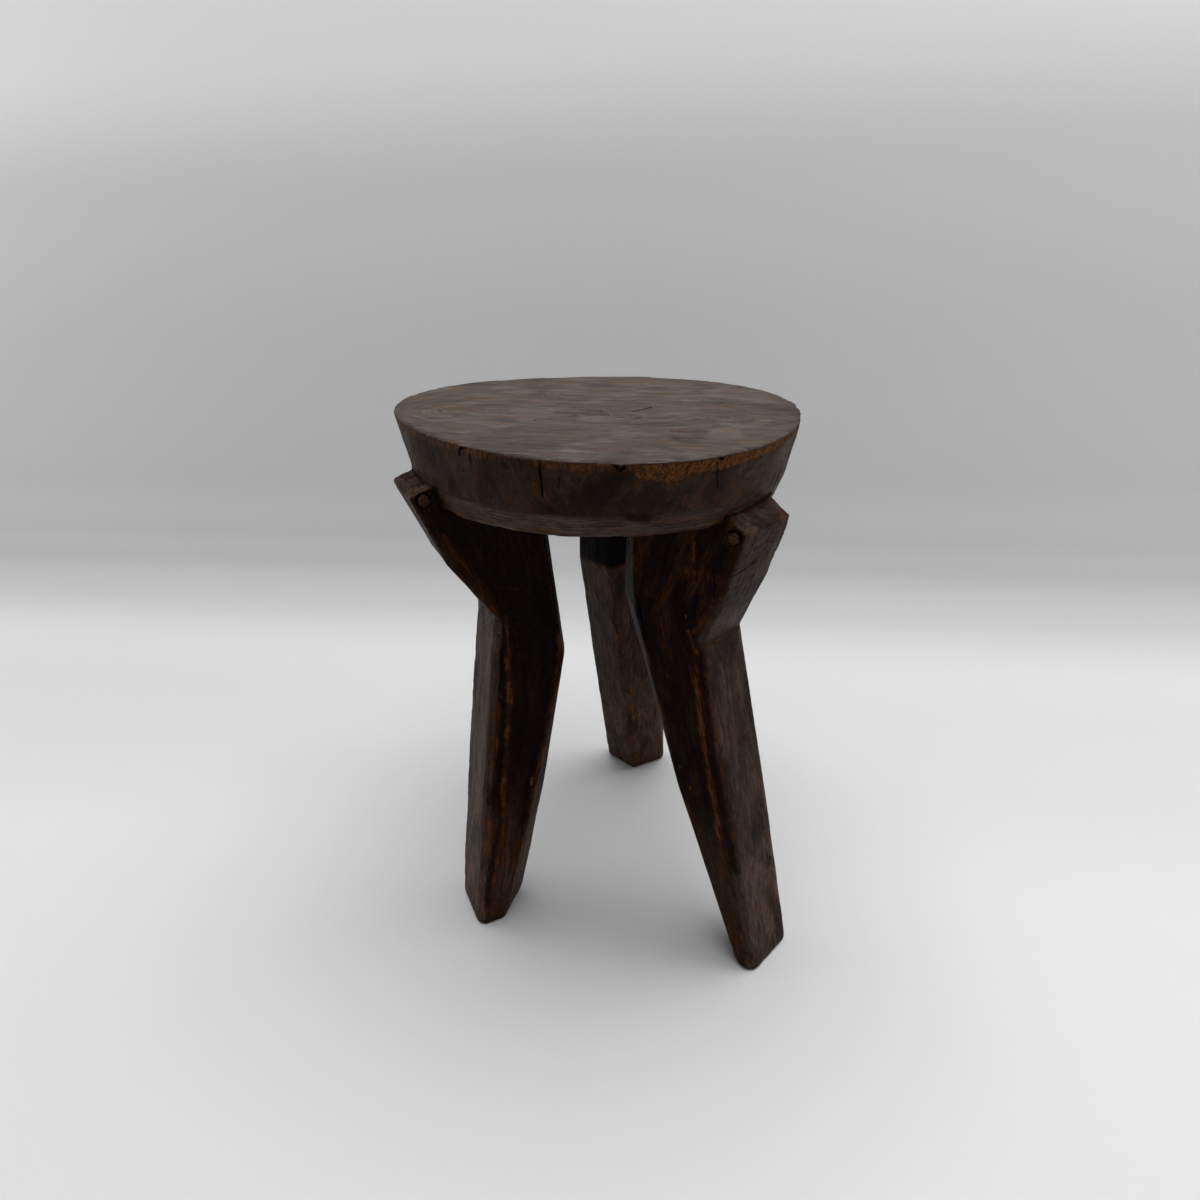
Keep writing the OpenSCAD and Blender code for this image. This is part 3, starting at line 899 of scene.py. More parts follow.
@dataclass
class SeatSlab(HewnPiece):
    """The thick round slab with its tongues, in a frame that leans with it.

    Args:
        pivot: Middle of the slab's underside in the stool's frame.
        lean: How far the slab leans, in degrees.
        lean_az: Direction towards which it is lowest.
        thickness: Thickness of the slab.
        heart: Place on the top from which the growth rings open.
        girth: Radius that turns an azimuth into millimetres along the rim.
        creased: Height up to which the side is cut back and its grain lies level.
        bare_low: Lower edge of the bare patch under the rim, as azimuths and depths.
        bare_high: Its upper edge.
    """

    swell: Point = (55.0, 38.0, 60.0)
    scoop: Point = (24.0, 24.0, 20.0)
    scooped: float = 0.7
    pivot: Point = (-0.68, -8.76, 349.0)
    lean: float = 2.3
    lean_az: float = 34.0
    thickness: float = TOP_Z
    heart: tuple[float, float] = (-92.0, -22.0)
    girth: float = 135.0
    creased: float = 15.5
    bare_low: tuple[tuple[float, ...], tuple[float, ...]] = (
        (284.8, 286.8, 292.9, 295.8, 297.6, 304.8, 312.4, 323.6, 343.0),
        (6.0, 10.0, 13.0, 12.0, 9.0, 9.4, 7.4, 6.6, 0.6),
    )
    bare_high: tuple[tuple[float, ...], tuple[float, ...]] = (
        (284.8, 292.0, 303.6, 311.0, 345.5),
        (1.3, 1.6, 0.9, 0.6, 0.6),
    )

    @property
    def turn(self) -> Array:
        """The slab's turn, as a matrix."""
        spin = Matrix.Rotation(math.radians(self.lean_az), 3, "Z")
        return np.array(spin @ Matrix.Rotation(math.radians(self.lean), 3, "Y") @ spin.transposed())

    def to_world(self, points: Array) -> Array:
        """Turns points from the slab's frame, z up from its underside, into the stool's frame."""
        return points @ self.turn.T + np.array(self.pivot)

    def to_local(self, points: Array) -> Array:
        """Turns points from the stool's frame into the slab's frame."""
        return (points - np.array(self.pivot)) @ self.turn

    @staticmethod
    def azimuth(local: Array) -> Array:
        """Azimuth of each point."""
        return np.degrees(np.arctan2(local[:, 1], local[:, 0])) % 360

    def around(self, local: Array) -> Array:
        """Cylinder coordinates of each point, all in millimetres."""
        run = np.radians(self.azimuth(local)) * self.girth
        return np.stack([np.hypot(local[:, 0], local[:, 1]), run, local[:, 2]], axis=1)

    def along_seam(self, local: Array) -> Array:
        """Seams run round the slab, so the second coordinate does."""
        return self.around(local)

    def lay(self, surface: BVHTree, point: Array) -> Array:
        """Lays a mark's point on the top, or level inwards onto the side if it starts outside.

        Args:
            surface: The piece's surface, in metres.
            point: The point in the slab's frame.

        Returns:
            The point on the surface, in millimetres in the stool's frame.
        """
        if math.hypot(point[0], point[1]) < OUTSIDE:
            return super().lay(surface, point)
        start, end = self.to_world(np.array([point, (0.0, 0.0, point[2])]))
        hit = surface.ray_cast(Vector(start) * MM, Vector(end - start).normalized())
        return np.array(hit[0]) / MM if hit[0] is not None else super().lay(surface, point)

    def hewing(self, normal: Array, local: Array, edge: Array) -> Array:
        """Works the top gently, and the sides and underside in shallow scoops.

        Args:
            normal: Outward normals in the slab's frame.
            local: The points in the slab's frame.
            edge: Distance to the nearest outward arris.

        Returns:
            Depth in millimetres.
        """
        top = smooth(0.55, 0.85, normal[:, 2])
        around = self.around(local)
        swell = 0.4 * (1 + noise(local, self.swell, self.seed, 2))
        scoop = self.scooped * scallops(local, self.scoop, self.seed + 5)
        dish = 1.0 * smooth(120, 20, around[:, 0])
        wave = 0.5 * (1 + noise(local, (30, 9, 30), self.seed + 7, 2))
        fray = np.maximum(0, noise(local, (7, 7, 7), self.seed + 9, 3) - 0.05) * smooth(4.0, 0.5, edge)
        ribs = 0.15 * (1 + noise(around, (60, 3.2, 26), self.seed + 11, 3))
        return top * (swell + dish + 0.5 * wave) + (1 - top) * (swell + scoop + ribs) + 1.1 * fray

    def grain(self, local: Array, normal: Array) -> Array:
        """Long fibres over the top that open from the heart, upright ones down the side.

        Args:
            local: The points in the slab's frame.
            normal: Outward normals in that frame.

        Returns:
            Grain coordinates.
        """
        x, y, z = local.T
        over = np.stack([x, self.layer(local) * np.sign(y - self.heart[1] + 1e-6), z], axis=1)
        radius, run, _ = self.around(local).T
        down = np.stack([z, run, radius + 400], axis=1)
        level = np.stack([run, z + 900, radius], axis=1)
        side = np.where((z < self.creased)[:, None], level, down)
        return np.where((normal[:, 2] > 0.6)[:, None], over, side)

    def layer(self, local: Array) -> Array:
        """Growth distance: stretched rings round the heart, and level ones below the crease.

        Args:
            local: The points in the slab's frame.

        Returns:
            One distance for each point.
        """
        dx = local[:, 0] - self.heart[0]
        bow = np.hypot(np.where(dx > 0, 0.14 * dx, dx), local[:, 1] - self.heart[1])
        return np.where(local[:, 2] < self.creased, 1.6 * local[:, 2], bow)

    def zones(self, local: Array, normal: Array) -> Array:
        """A handled film on the top, some at the ends of the side, little in front; the underside keeps
        little film and warmth, as painted shade.

        Args:
            local: The points in the slab's frame.
            normal: Outward normals in that frame.

        Returns:
            Film, warmth, ring lines and sheen.
        """
        top = smooth(0.35, 0.8, normal[:, 2])
        below = smooth(-0.70, -0.97, normal[:, 2])
        band = smooth(self.creased + 2, self.creased - 2, local[:, 2])
        front = smooth(62, 20, np.abs(self.azimuth(local) - 275))
        mottle = smooth(-0.35, 0.45, noise(self.around(local), (30, 22, 20), self.seed + 21, 4))
        film = 0.10 + (0.50 - 0.38 * front) * mottle + 0.55 * band
        # Painted shade: the underside keeps little film and warmth
        film = top + (1 - top) * film * (1 - 0.9 * below)
        warm = 0.45 * top + (1 - top) * (0.62 + 0.30 * mottle + 0.30 * band - 0.25 * below)
        lines = 0.9 * top + (1 - top) * (0.10 + 0.75 * band)
        sheen = 0.22 * top + (1 - top) * 0.05 * film
        return np.stack([film, warm, lines, sheen], axis=1)

    def touch(self, patina_and_shade: Array, depth: Array, local: Array, normal: Array) -> None:
        """Adds the rubbed band and the bare broken patch under the rim, and painted shade on the underside.

        Args:
            patina_and_shade: The patina values, changed in place.
            depth: How far each point is worked inwards, changed in place.
            local: The points in the slab's frame.
            normal: Outward normals in that frame.
        """
        az = self.azimuth(local)
        around = self.around(local)
        down = self.thickness - local[:, 2]
        side = smooth(0.85, 0.55, normal[:, 2])
        fine = noise(around, (20, 3.0, 6.0), self.seed + 30, 3)
        reach = 1.8 + 2.4 * smooth(196, 206, az) * smooth(330, 300, az) + 1.2 * fine
        rubbed = smooth(reach + 5.5, reach - 0.8, down) * side
        tick = smooth(0.16, 0.03, np.abs(noise(around, (40, 2.2, 9.0), self.seed + 31)))
        shows = smooth(-0.7, 0.1, noise(around, (40, 18, 40), self.seed + 32, 2))
        patina_and_shade[:, 0] *= 1 - 0.8 * smooth(20, 4, down)
        rubbed_rim = rubbed * (0.60 + 0.33 * shows + 0.25 * smooth(1.8, 0.7, down))
        patina_and_shade[:, 0] = np.maximum(patina_and_shade[:, 0], rubbed_rim)
        patina_and_shade[:, 3] = np.maximum(patina_and_shade[:, 3], 0.6 * rubbed * tick)
        low = np.interp(az, *self.bare_low)
        high = np.interp(az, *self.bare_high)
        span = smooth(284.2, 285.5, az) * smooth(344, 338, az)
        bare = span * side * smooth(low + 1.6, low - 1.2, down + 1.2 * fine)
        bare = bare * smooth(high - 0.5, high + 0.3, down)
        patina_and_shade[:, 1] = np.maximum(patina_and_shade[:, 1], bare * (0.75 + 0.35 * fine))
        depth += 0.5 * bare * (1 + noise(around, (4, 2.2, 5.0), self.seed + 33, 2))
        # Painted shade on the faces that look down
        patina_and_shade[:, 2] = np.maximum(patina_and_shade[:, 2], 0.85 * smooth(-0.75, -0.98, normal[:, 2]))


@dataclass
class Leg(HewnPiece):
    """A bent leg, in a frame of reach from the seat's axis, side and height.

    Args:
        azimuth: Direction of the leg, in degrees.
        head: Reach of the thigh's middle under the slab, at a height of 360 mm.
        bend: Reach and height of the middle of the bend.
        sole: Reach of the middle of the foot.
        tip: Reach and height of the shoulder's outer tip.
        warmth: Share of reddish wood on the sides of the thigh.
        film_in: Share of handled film on the face turned to the stool's middle.
        film_and_sheen_out: Share of it on the outer face, where it is partly a painted sheen.
        knee: Reach and height of the inner corner of the bend.
        axis: Where the seat's axis stands.
    """

    frayed: float = 4.5
    fray: float = 0.55
    azimuth: float = 0.0
    head: float = 97.0
    bend: tuple[float, float] = (65.0, 250.0)
    sole: float = 112.0
    tip: tuple[float, float] = (141.0, 355.0)
    warmth: float = 0.5
    film_in: float = 0.3
    film_and_sheen_out: float = 1.0
    knee: tuple[float, float] = (20.0, 270.0)
    axis: tuple[float, float] = (1.0, -7.5)

    @property
    def turn(self) -> Array:
        """The leg's turn about the upright, as a matrix."""
        return np.array(Matrix.Rotation(math.radians(self.azimuth), 3, "Z"))

    def to_world(self, points: Array) -> Array:
        """Turns points from the leg's frame into the stool's frame."""
        return points @ self.turn.T + np.array((*self.axis, 0.0))

    def to_local(self, points: Array) -> Array:
        """Turns points from the stool's frame into the leg's frame."""
        return (points - np.array((*self.axis, 0.0))) @ self.turn

    def softness(self, local: Array) -> Array:
        """Rounds the shoulder's tip and the edges of the foot.

        Args:
            local: The points in the leg's frame.

        Returns:
            Relaxing passes for each point.
        """
        away = np.hypot(local[:, 0] - self.tip[0], local[:, 2] - self.tip[1])
        knee = np.hypot(local[:, 0] - self.knee[0], local[:, 2] - self.knee[1])
        foot = smooth(14, 3, local[:, 2] + 0.25 * (self.sole + 18 - local[:, 0]))
        return 12 * smooth(9, 3, away) + 10 * smooth(9, 3, knee) + 8 * smooth(7, 2, local[:, 2]) + 18 * foot

    def hewing(self, normal: Array, local: Array, edge: Array) -> Array:
        """Long shallow scoops down the faces, and nicks in the arrises.

        Args:
            normal: Outward normals in the leg's frame.
            local: The points in the leg's frame.
            edge: Distance to the nearest outward arris.

        Returns:
            Depth in millimetres.
        """
        swell = 0.4 * (1 + noise(local, self.swell, self.seed, 2))
        scoop = self.scooped * scallops(local, self.scoop, self.seed + 5)
        ribs = 0.22 * (1 + noise(self.grain(local, normal), (30, 3.0, 3.0), self.seed + 7, 3))
        nick = np.maximum(0, noise(local, (7, 7, 13), self.seed + 9, 3) - 0.02) * smooth(3.5, 0.4, edge)
        return swell + scoop + ribs + 1.0 * nick

    def grain(self, local: Array, normal: Array) -> Array:
        """Fibres that run down the thigh and then down the shin.

        Args:
            local: The points in the leg's frame.
            normal: Outward normals in that frame.

        Returns:
            Grain coordinates.
        """
        bend = np.array([self.bend[0], 0.0, self.bend[1]])
        up = np.array([self.head, 0.0, 360.0]) - bend
        down = np.array([self.sole, 0.0, 0.0]) - bend
        p = local - bend
        result = []
        for way, sign in ((up, -1.0), (down, 1.0)):
            d = way / np.linalg.norm(way)
            across = np.array([d[2], 0.0, -d[0]]) * -sign
            result.append(np.stack([sign * (p @ d), p @ across, p[:, 1]], axis=1))
        share = smooth(-30, 30, p[:, 2])[:, None]
        return result[1] * (1 - share) + result[0] * share

    def layer(self, local: Array) -> Array:
        """Growth distance from a heart that lies inside the leg, off its middle."""
        along, across, side = self.grain(local, local).T
        return np.hypot(across + 14 + 0.05 * along, side - 9)

    def zones(self, local: Array, normal: Array) -> Array:
        """Most film on the outer face, partly a painted sheen, least on the sides; thigh faces that look
        down get painted shade.

        Args:
            local: The points in the leg's frame.
            normal: Outward normals in that frame.

        Returns:
            Film, warmth, ring lines and sheen.
        """
        outer = smooth(0.25, 0.85, normal[:, 0])
        inner = smooth(-0.35, -0.85, normal[:, 0])
        # Painted shade: thigh faces that look down, above the bend, lose most film, warmth and sheen
        below = smooth(-0.1, -0.6, normal[:, 2]) * smooth(self.bend[1] + 5, self.bend[1] + 25, local[:, 2])
        mottle = smooth(-0.4, 0.5, noise(local, (18, 18, 50), self.seed + 21, 4))
        low = smooth(150, 60, local[:, 2])
        thigh = smooth(self.bend[1] - 10, self.bend[1] + 30, local[:, 2])
        up = smooth(0.25, 0.6, normal[:, 2])
        # The outer face's film is partly handled film and partly a painted sheen
        film = 0.03 + self.film_and_sheen_out * outer * (0.50 + 0.45 * mottle + 0.45 * thigh)
        film += 0.08 * mottle + 0.46 * low + 1.0 * up
        film += inner * self.film_in * (0.5 + 0.5 * mottle)
        patches = smooth(-0.15, 0.45, noise(local, (13, 13, 36), self.seed + 22, 4))
        warm = (0.15 + 0.75 * patches * (1 - 0.4 * outer)) * (0.55 + self.warmth * thigh + 0.5 * low)
        warm += 0.35 * low
        sheen = 0.10 * outer + 0.04 * inner
        lines = np.full(len(local), 0.6)
        return np.stack([film, warm, lines, sheen], axis=1) * (1 - 0.85 * below)[:, None]

    def touch(self, patina_and_shade: Array, depth: Array, local: Array, normal: Array) -> None:
        """Paints shade on the thigh's underside and on the inner face and slots above the bend, crazes the
        outer face above the bend, and darkens the foot's lowest millimetres.

        Args:
            patina_and_shade: The patina values, changed in place.
            depth: How far each point is worked inwards, changed in place.
            local: The points in the leg's frame.
            normal: Outward normals in that frame.
        """
        above = local[:, 2] - self.bend[1]
        # Painted shade on thigh faces that look down
        under = smooth(-0.15, -0.65, normal[:, 2]) * smooth(2, 22, above)
        patina_and_shade[:, 2] = np.maximum(patina_and_shade[:, 2], 0.8 * under)
        # Painted shade on the inner face above the bend, under the seat
        within = smooth(-0.25, -0.6, normal[:, 0]) * smooth(1, 6, above)
        patina_and_shade[:, 2] = np.maximum(patina_and_shade[:, 2], 0.95 * within)
        outer = smooth(0.3, 0.7, normal[:, 0]) * smooth(0, 15, above)
        craze = outer * smooth(0.09, 0.02, np.abs(noise(local, (13, 9, 5), self.seed + 41, 2)))
        patina_and_shade[:, 3] = np.maximum(patina_and_shade[:, 3], 0.55 * craze)
        depth += 0.25 * craze
        sole = smooth(7, 1, local[:, 2] + 2 * noise(local, (5, 5, 5), self.seed + 40, 2))
        patina_and_shade[:, 2] = np.maximum(patina_and_shade[:, 2], 0.45 * sole)


@dataclass
class Peg:
    """A whittled peg that runs across a leg, standing a little out of both sides.

    Args:
        node: Name of the CAD node that it stands for.
        azimuth: Direction of its leg, in degrees.
        finish: The wood finish.
        slot: The record's material slot.
        radius: Radius of the peg.
        dome: How far the middle of each end stands out beyond its rim.
        rubbed: How far the ends are rubbed to warm wood.
        lower_shade: How dark the painted shade on the ends' lower halves is.
        cut: How much shorter the end turned away is than in the CAD.
        flipped: Whether the end that keeps its length looks to the leg's other side.
        seed: Picks the tool marks.
    """

    node: str
    azimuth: float
    finish: WoodFinish
    slot: str = "peg_wood"
    radius: float = 4.2
    dome: float = 1.9
    rubbed: float = 0.3
    lower_shade: float = 0.5
    cut: float = 0.0
    flipped: bool = False
    seed: int = 1

    def outline(self, half: float) -> list[tuple[float, float]]:
        """The peg's outline, from the middle of one end to the middle of the other.

        Args:
            half: Half the peg's length.

        Returns:
            Radius and place along the axis, in millimetres.
        """
        steps = [math.radians(a) for a in np.linspace(0, 90, 11)]
        end = [(self.radius * math.sin(a), half - self.dome * (1 - math.cos(a))) for a in steps]
        wall = [(self.radius, (half - self.dome) * t) for t in np.linspace(1, -1, 42)[1:-1]]
        away = [(r, self.cut - z) for r, z in reversed(end)]
        return end + wall + away

    def build(self) -> bpy.types.Object:
        """Spins the peg's outline about its own axis and whittles it.

        Returns:
            The finished object.
        """
        low, high = (np.array(c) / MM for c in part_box(self.node))
        middle = (low + high) / 2
        angle = math.radians(self.azimuth)
        across = Vector((-math.sin(angle), math.cos(angle), 0)) * (-1 if self.flipped else 1)
        cad = np.array([v.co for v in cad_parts[self.node].data.vertices]) / MM
        half = float(((cad - middle) @ np.array(across)).max())
        bm = bmesh.new()
        verts = [bm.verts.new((r, 0, z)) for r, z in self.outline(half)]
        edges = [bm.edges.new(pair) for pair in zip(verts[:-1], verts[1:])]
        bmesh.ops.spin(
            bm, geom=verts + edges, cent=(0, 0, 0), axis=(0, 0, 1), angle=2 * math.pi, steps=48,
            use_merge=True,
        )
        bmesh.ops.remove_doubles(bm, verts=bm.verts, dist=1e-4)
        bmesh.ops.recalc_face_normals(bm, faces=bm.faces)
        bm.normal_update()
        co = np.array([v.co for v in bm.verts])
        normal = np.array([v.normal for v in bm.verts])
        # Six whittled facets and the knife's small slips
        facet = 0.2 * (1 + np.cos(6 * np.arctan2(co[:, 1], co[:, 0])))
        facet = facet + 0.3 * (1 + noise(co, (2.6, 2.6, 5), self.seed, 2))
        co = co - normal * facet[:, None]
        grain = np.stack([co[:, 2], co[:, 0], co[:, 1]], axis=1)
        tilt = np.array(across.to_track_quat("Z", "Y").to_matrix())
        turned = co @ tilt.T
        for vert, place in zip(bm.verts, (turned + middle) * MM):
            vert.co = place
        mesh = bpy.data.meshes.new(self.node + "_wood")
        bm.to_mesh(mesh)
        bm.free()
        radius = np.hypot(co[:, 0], co[:, 1])
        end = smooth(half - 3.0, half - 1.0, np.abs(co[:, 2]))
        rim = smooth(self.radius - 1.2, self.radius - 0.5, radius)
        patina_and_shade = np.zeros((len(co), 4))
        patina_and_shade[:, 0] = self.rubbed * end * (1 - rim) * (1 + 0.4 * noise(co, (2, 2, 2), self.seed + 4, 2))
        # Painted shade: a dark ring round each end's rim and darker lower halves of the ends
        patina_and_shade[:, 2] = np.maximum(0.5 * rim, self.lower_shade * smooth(1.5, -2.5, turned[:, 2]))
        HewnPiece.write(mesh, "grain", "FLOAT_VECTOR", "vector", grain)
        HewnPiece.write(mesh, "layer", "FLOAT", "value", radius)
        HewnPiece.write(mesh, "patina_and_shade", "FLOAT_COLOR", "color", np.clip(patina_and_shade, 0, 1))
        zone = np.ones((len(co), 1)) * np.array([0.8, 0.8, 0.6, 0.1])
        HewnPiece.write(mesh, "zone", "FLOAT_COLOR", "color", zone)
        return HewnPiece.dressed(mesh, "whittled_", self.node, self.slot, self.finish)


@dataclass(frozen=True)
class SweepFinish:
    """Matt white board, bent up behind the object, with painted shade that greys it towards the foot of its
    wall and painted light that whitens its top.

    Args:
        name: The material's name.
        floor: Colour of the lying part.
        steps: Further colours, each with where it starts and where it is full, in metres of
            distance behind the stool plus height.
        shine: Roughness of the board.
        tooth: How many dimples of the board's tooth there are to a millimetre.
        tooth_depth: Depth of the dimples, in millimetres.
    """

    name: str = "MattSweepBoard"
    floor: str = "#dfdfdf"
    steps: tuple[tuple[float, float, str], ...] = (
        (-0.05, 0.12, "#d7d7d7"),
        (0.22, 0.34, "#dadada"),
        (0.34, 0.53, "#c4c4c4"),
        (0.53, 0.60, "#c1c1c1"),
        (0.60, 0.67, "#dddddd"),
        (0.69, 0.76, "#d6d6d6"),
        (0.95, 1.15, "#dddddd"),
        (1.15, 1.32, "#f8f8f8"),
    )
    shine: float = 0.7
    tooth: float = 0.9
    tooth_depth: float = 0.05

    def material(self) -> bpy.types.Material:
        """Builds the node material.

        Returns:
            The material.
        """
        made = bpy.data.materials.new(self.name)
        made.use_nodes = True
        tree = made.node_tree
        tree.nodes.clear()
        place = add_node(tree, "ShaderNodeTexCoord").outputs["Object"]
        axes = add_node(tree, "ShaderNodeSeparateXYZ", {0: place}).outputs
        run = add_node(tree, "ShaderNodeMath", {0: axes[1], 1: axes[2]}, operation="ADD")
        # The board's colour, with painted shade and painted light laid over it one step after another
        tint: Any = linear(self.floor)
        for low, high, colour in self.steps:
            rise = add_node(tree, "ShaderNodeMapRange", {
                "Value": run.outputs[0], "From Min": low, "From Max": high,
            }, interpolation_type="SMOOTHSTEP")
            mix = add_node(tree, "ShaderNodeMix", {
                0: rise.outputs[0], 6: tint, 7: linear(colour),
            }, data_type="RGBA")
            tint = mix.outputs[2]
        dimples = add_node(tree, "ShaderNodeTexNoise", {
            "Vector": place, "Scale": self.tooth / MM, "Detail": 2.0,
        })
        bump = add_node(tree, "ShaderNodeBump", {
            "Height": dimples.outputs["Fac"], "Distance": self.tooth_depth * MM, "Strength": 0.3,
        })
        shader = add_node(tree, "ShaderNodeBsdfPrincipled", {
            "Base Color": tint, "Roughness": self.shine, "Normal": bump.outputs[0],
            "Specular IOR Level": 0.25,
        })
        add_node(tree, "ShaderNodeOutputMaterial", {"Surface": shader.outputs[0]})
        return made


@dataclass(frozen=True)
class Lamp:
    """A soft rectangular lamp.

    Args:
        name: The lamp's name.
        place: Its place, in metres.
        target: What it points at, in metres.
        size: Its width and height, in metres.
        power: Its power in watts.
        colour: Its colour.
    """

    name: str
    place: Point
    target: Point
    size: tuple[float, float]
    power: float
    colour: str = "#ffffff"

    def build(self) -> None:
        """Adds the lamp to the scene, hidden from the camera."""
        data = bpy.data.lights.new(self.name, "AREA")
        data.shape = "RECTANGLE"
        data.size, data.size_y = self.size
        data.energy = self.power
        data.color = linear(self.colour)[:3]
        lamp = bpy.data.objects.new(self.name, data)
        lamp.location = self.place
        lamp.rotation_euler = (Vector(self.target) - Vector(self.place)).to_track_quat("-Z", "Y").to_euler()
        lamp.visible_camera = False
        bpy.context.scene.collection.objects.link(lamp)


LAMPS = (
    Lamp("lamp_above", (0.25, 0.22, 2.2), (0.03, 0, 0.2), (2.0, 2.0), 56.0),
    Lamp("lamp_left", (-1.3, 0.1, 0.7), (0, 0, 0.25), (1.0, 1.2), 3.4),
    Lamp("lamp_right", (1.3, 0.2, 0.7), (0, 0, 0.25), (1.0, 1.2), 3.6),
)


@dataclass
class Studio:
    """The pale sweep, the soft lamps, the world and the camera.

    Args:
        bend_y: Where the sweep starts to bend up, in metres behind the stool.
        bend_r: Radius of the bend, in metres.
        half_width: Half the sweep's width, in metres.
        front: How far the sweep reaches to the front, in metres.
        wall: Height of the sweep's wall, in metres.
        ambient: Strength of the world's light.
        backdrop: Colour of the world where the camera sees it, also in gloss and glass.
        finish: The sweep's finish.
        lamps: The lamps.
        camera_place: Where the camera stands, in metres.
        camera_way: Level direction in which it looks.
        pitch: How far it looks down, in degrees.
        roll: How far it leans, in degrees.
        lens: Its focal length on a 36 mm sensor.
    """

    bend_y: float = 0.52
    bend_r: float = 0.07
    half_width: float = 3.0
    front: float = 3.0
    wall: float = 1.6
    ambient: float = 0.09
    backdrop: str = "#d2d2d2"
    finish: SweepFinish = field(default_factory=SweepFinish)
    lamps: tuple[Lamp, ...] = LAMPS
    camera_place: Point = (0.0852, -0.5507, 0.5148)
    camera_way: Point = (-0.1626, 0.9867, 0.0)
    pitch: float = 25.44
    roll: float = -2.29
    lens: float = 23.93

    def sweep(self) -> bpy.types.Object:
        """Bends a flat grid up behind the stool.

        Returns:
            The sweep.
        """
        bm = bmesh.new()
        bmesh.ops.create_grid(bm, x_segments=2, y_segments=900, size=0.5)
        arc = self.bend_r * math.pi / 2
        total = self.front + self.bend_y + arc + self.wall
        for vert in bm.verts:
            run = (vert.co.y + 0.5) * total - self.front
            past = run - self.bend_y
            x = vert.co.x * 2 * self.half_width
            if past <= 0:
                y, z = run, 0.0
            elif past < arc:
                turn = past / self.bend_r
                y, z = self.bend_y + self.bend_r * math.sin(turn), self.bend_r * (1 - math.cos(turn))
            else:
                y, z = self.bend_y + self.bend_r, self.bend_r + past - arc
            vert.co = (x, y, z)
        mesh = bpy.data.meshes.new("sweep")
        bm.to_mesh(mesh)
        bm.free()
        mesh.shade_smooth()
        mesh.materials.append(self.finish.material())
        board = bpy.data.objects.new("sweep", mesh)
        bpy.context.scene.collection.objects.link(board)
        return board

    def world(self) -> None:
        """Sets a dim even world that the camera, gloss and glass see as pale backdrop."""
        world = bpy.data.worlds.new("StudioWorld")
        bpy.context.scene.world = world
        world.use_nodes = True
        tree = world.node_tree
        tree.nodes.clear()
        rays = add_node(tree, "ShaderNodeLightPath").outputs
        seen = rays["Is Camera Ray"]
        for kind in ("Is Glossy Ray", "Is Transmission Ray"):
            either = add_node(tree, "ShaderNodeMath", {0: seen, 1: rays[kind]}, operation="MAXIMUM")
            seen = either.outputs[0]
        light = add_node(tree, "ShaderNodeBackground", {
            "Color": linear("#ffffff"), "Strength": self.ambient,
        })
        sight = add_node(tree, "ShaderNodeBackground", {"Color": linear(self.backdrop), "Strength": 1.0})
        mix = add_node(tree, "ShaderNodeMixShader", {0: seen, 1: light.outputs[0], 2: sight.outputs[0]})
        add_node(tree, "ShaderNodeOutputWorld", {"Surface": mix.outputs[0]})

    def camera(self) -> None:
        """Sets the camera at the photograph's place, pitch, small roll and field of view."""
        data = bpy.data.cameras.new("camera")
        data.sensor_width = 36.0
        data.lens = self.lens
        data.clip_start = 0.01
        pitch, roll = math.radians(self.pitch), math.radians(self.roll)
        level = Vector(self.camera_way).normalized()
        ahead = level * math.cos(pitch) - Vector((0, 0, math.sin(pitch)))
        right = ahead.cross(Vector((0, 0, 1))).normalized()
        up = right.cross(ahead)
        x = right * math.cos(roll) + up * math.sin(roll)
        y = up * math.cos(roll) - right * math.sin(roll)
        turn = Matrix((x, y, -ahead)).transposed().to_4x4()
        camera = bpy.data.objects.new("camera", data)
        camera.matrix_world = Matrix.Translation(self.camera_place) @ turn
        bpy.context.scene.collection.objects.link(camera)
        bpy.context.scene.camera = camera

    def build(self) -> None:
        """Builds the whole studio."""
        self.camera()
        self.sweep()
        self.world()
        for lamp in self.lamps:
            lamp.build()
        bpy.context.scene.view_settings.view_transform = "Standard"


def rim(*spots: tuple[float, float]) -> tuple[Point, ...]:
    """Points outside the slab's side, which are laid level onto it.

    Args:
        spots: Azimuth in degrees and depth below the top in millimetres, of each point.

    Returns:
        The points in the slab's frame.
    """
    reach = OUTSIDE + 30
    return tuple(
        (reach * math.cos(math.radians(az)), reach * math.sin(math.radians(az)), TOP_Z - depth)
        for az, depth in spots
    )


def top(*spots: tuple[float, float]) -> tuple[Point, ...]:
    """Points on the slab's top."""
    return tuple((x, y, TOP_Z) for x, y in spots)


def flank(side: float, *spots: tuple[float, float]) -> tuple[Point, ...]:
    """Points on one side of a leg."""
    return tuple((reach, side, z) for reach, z in spots)


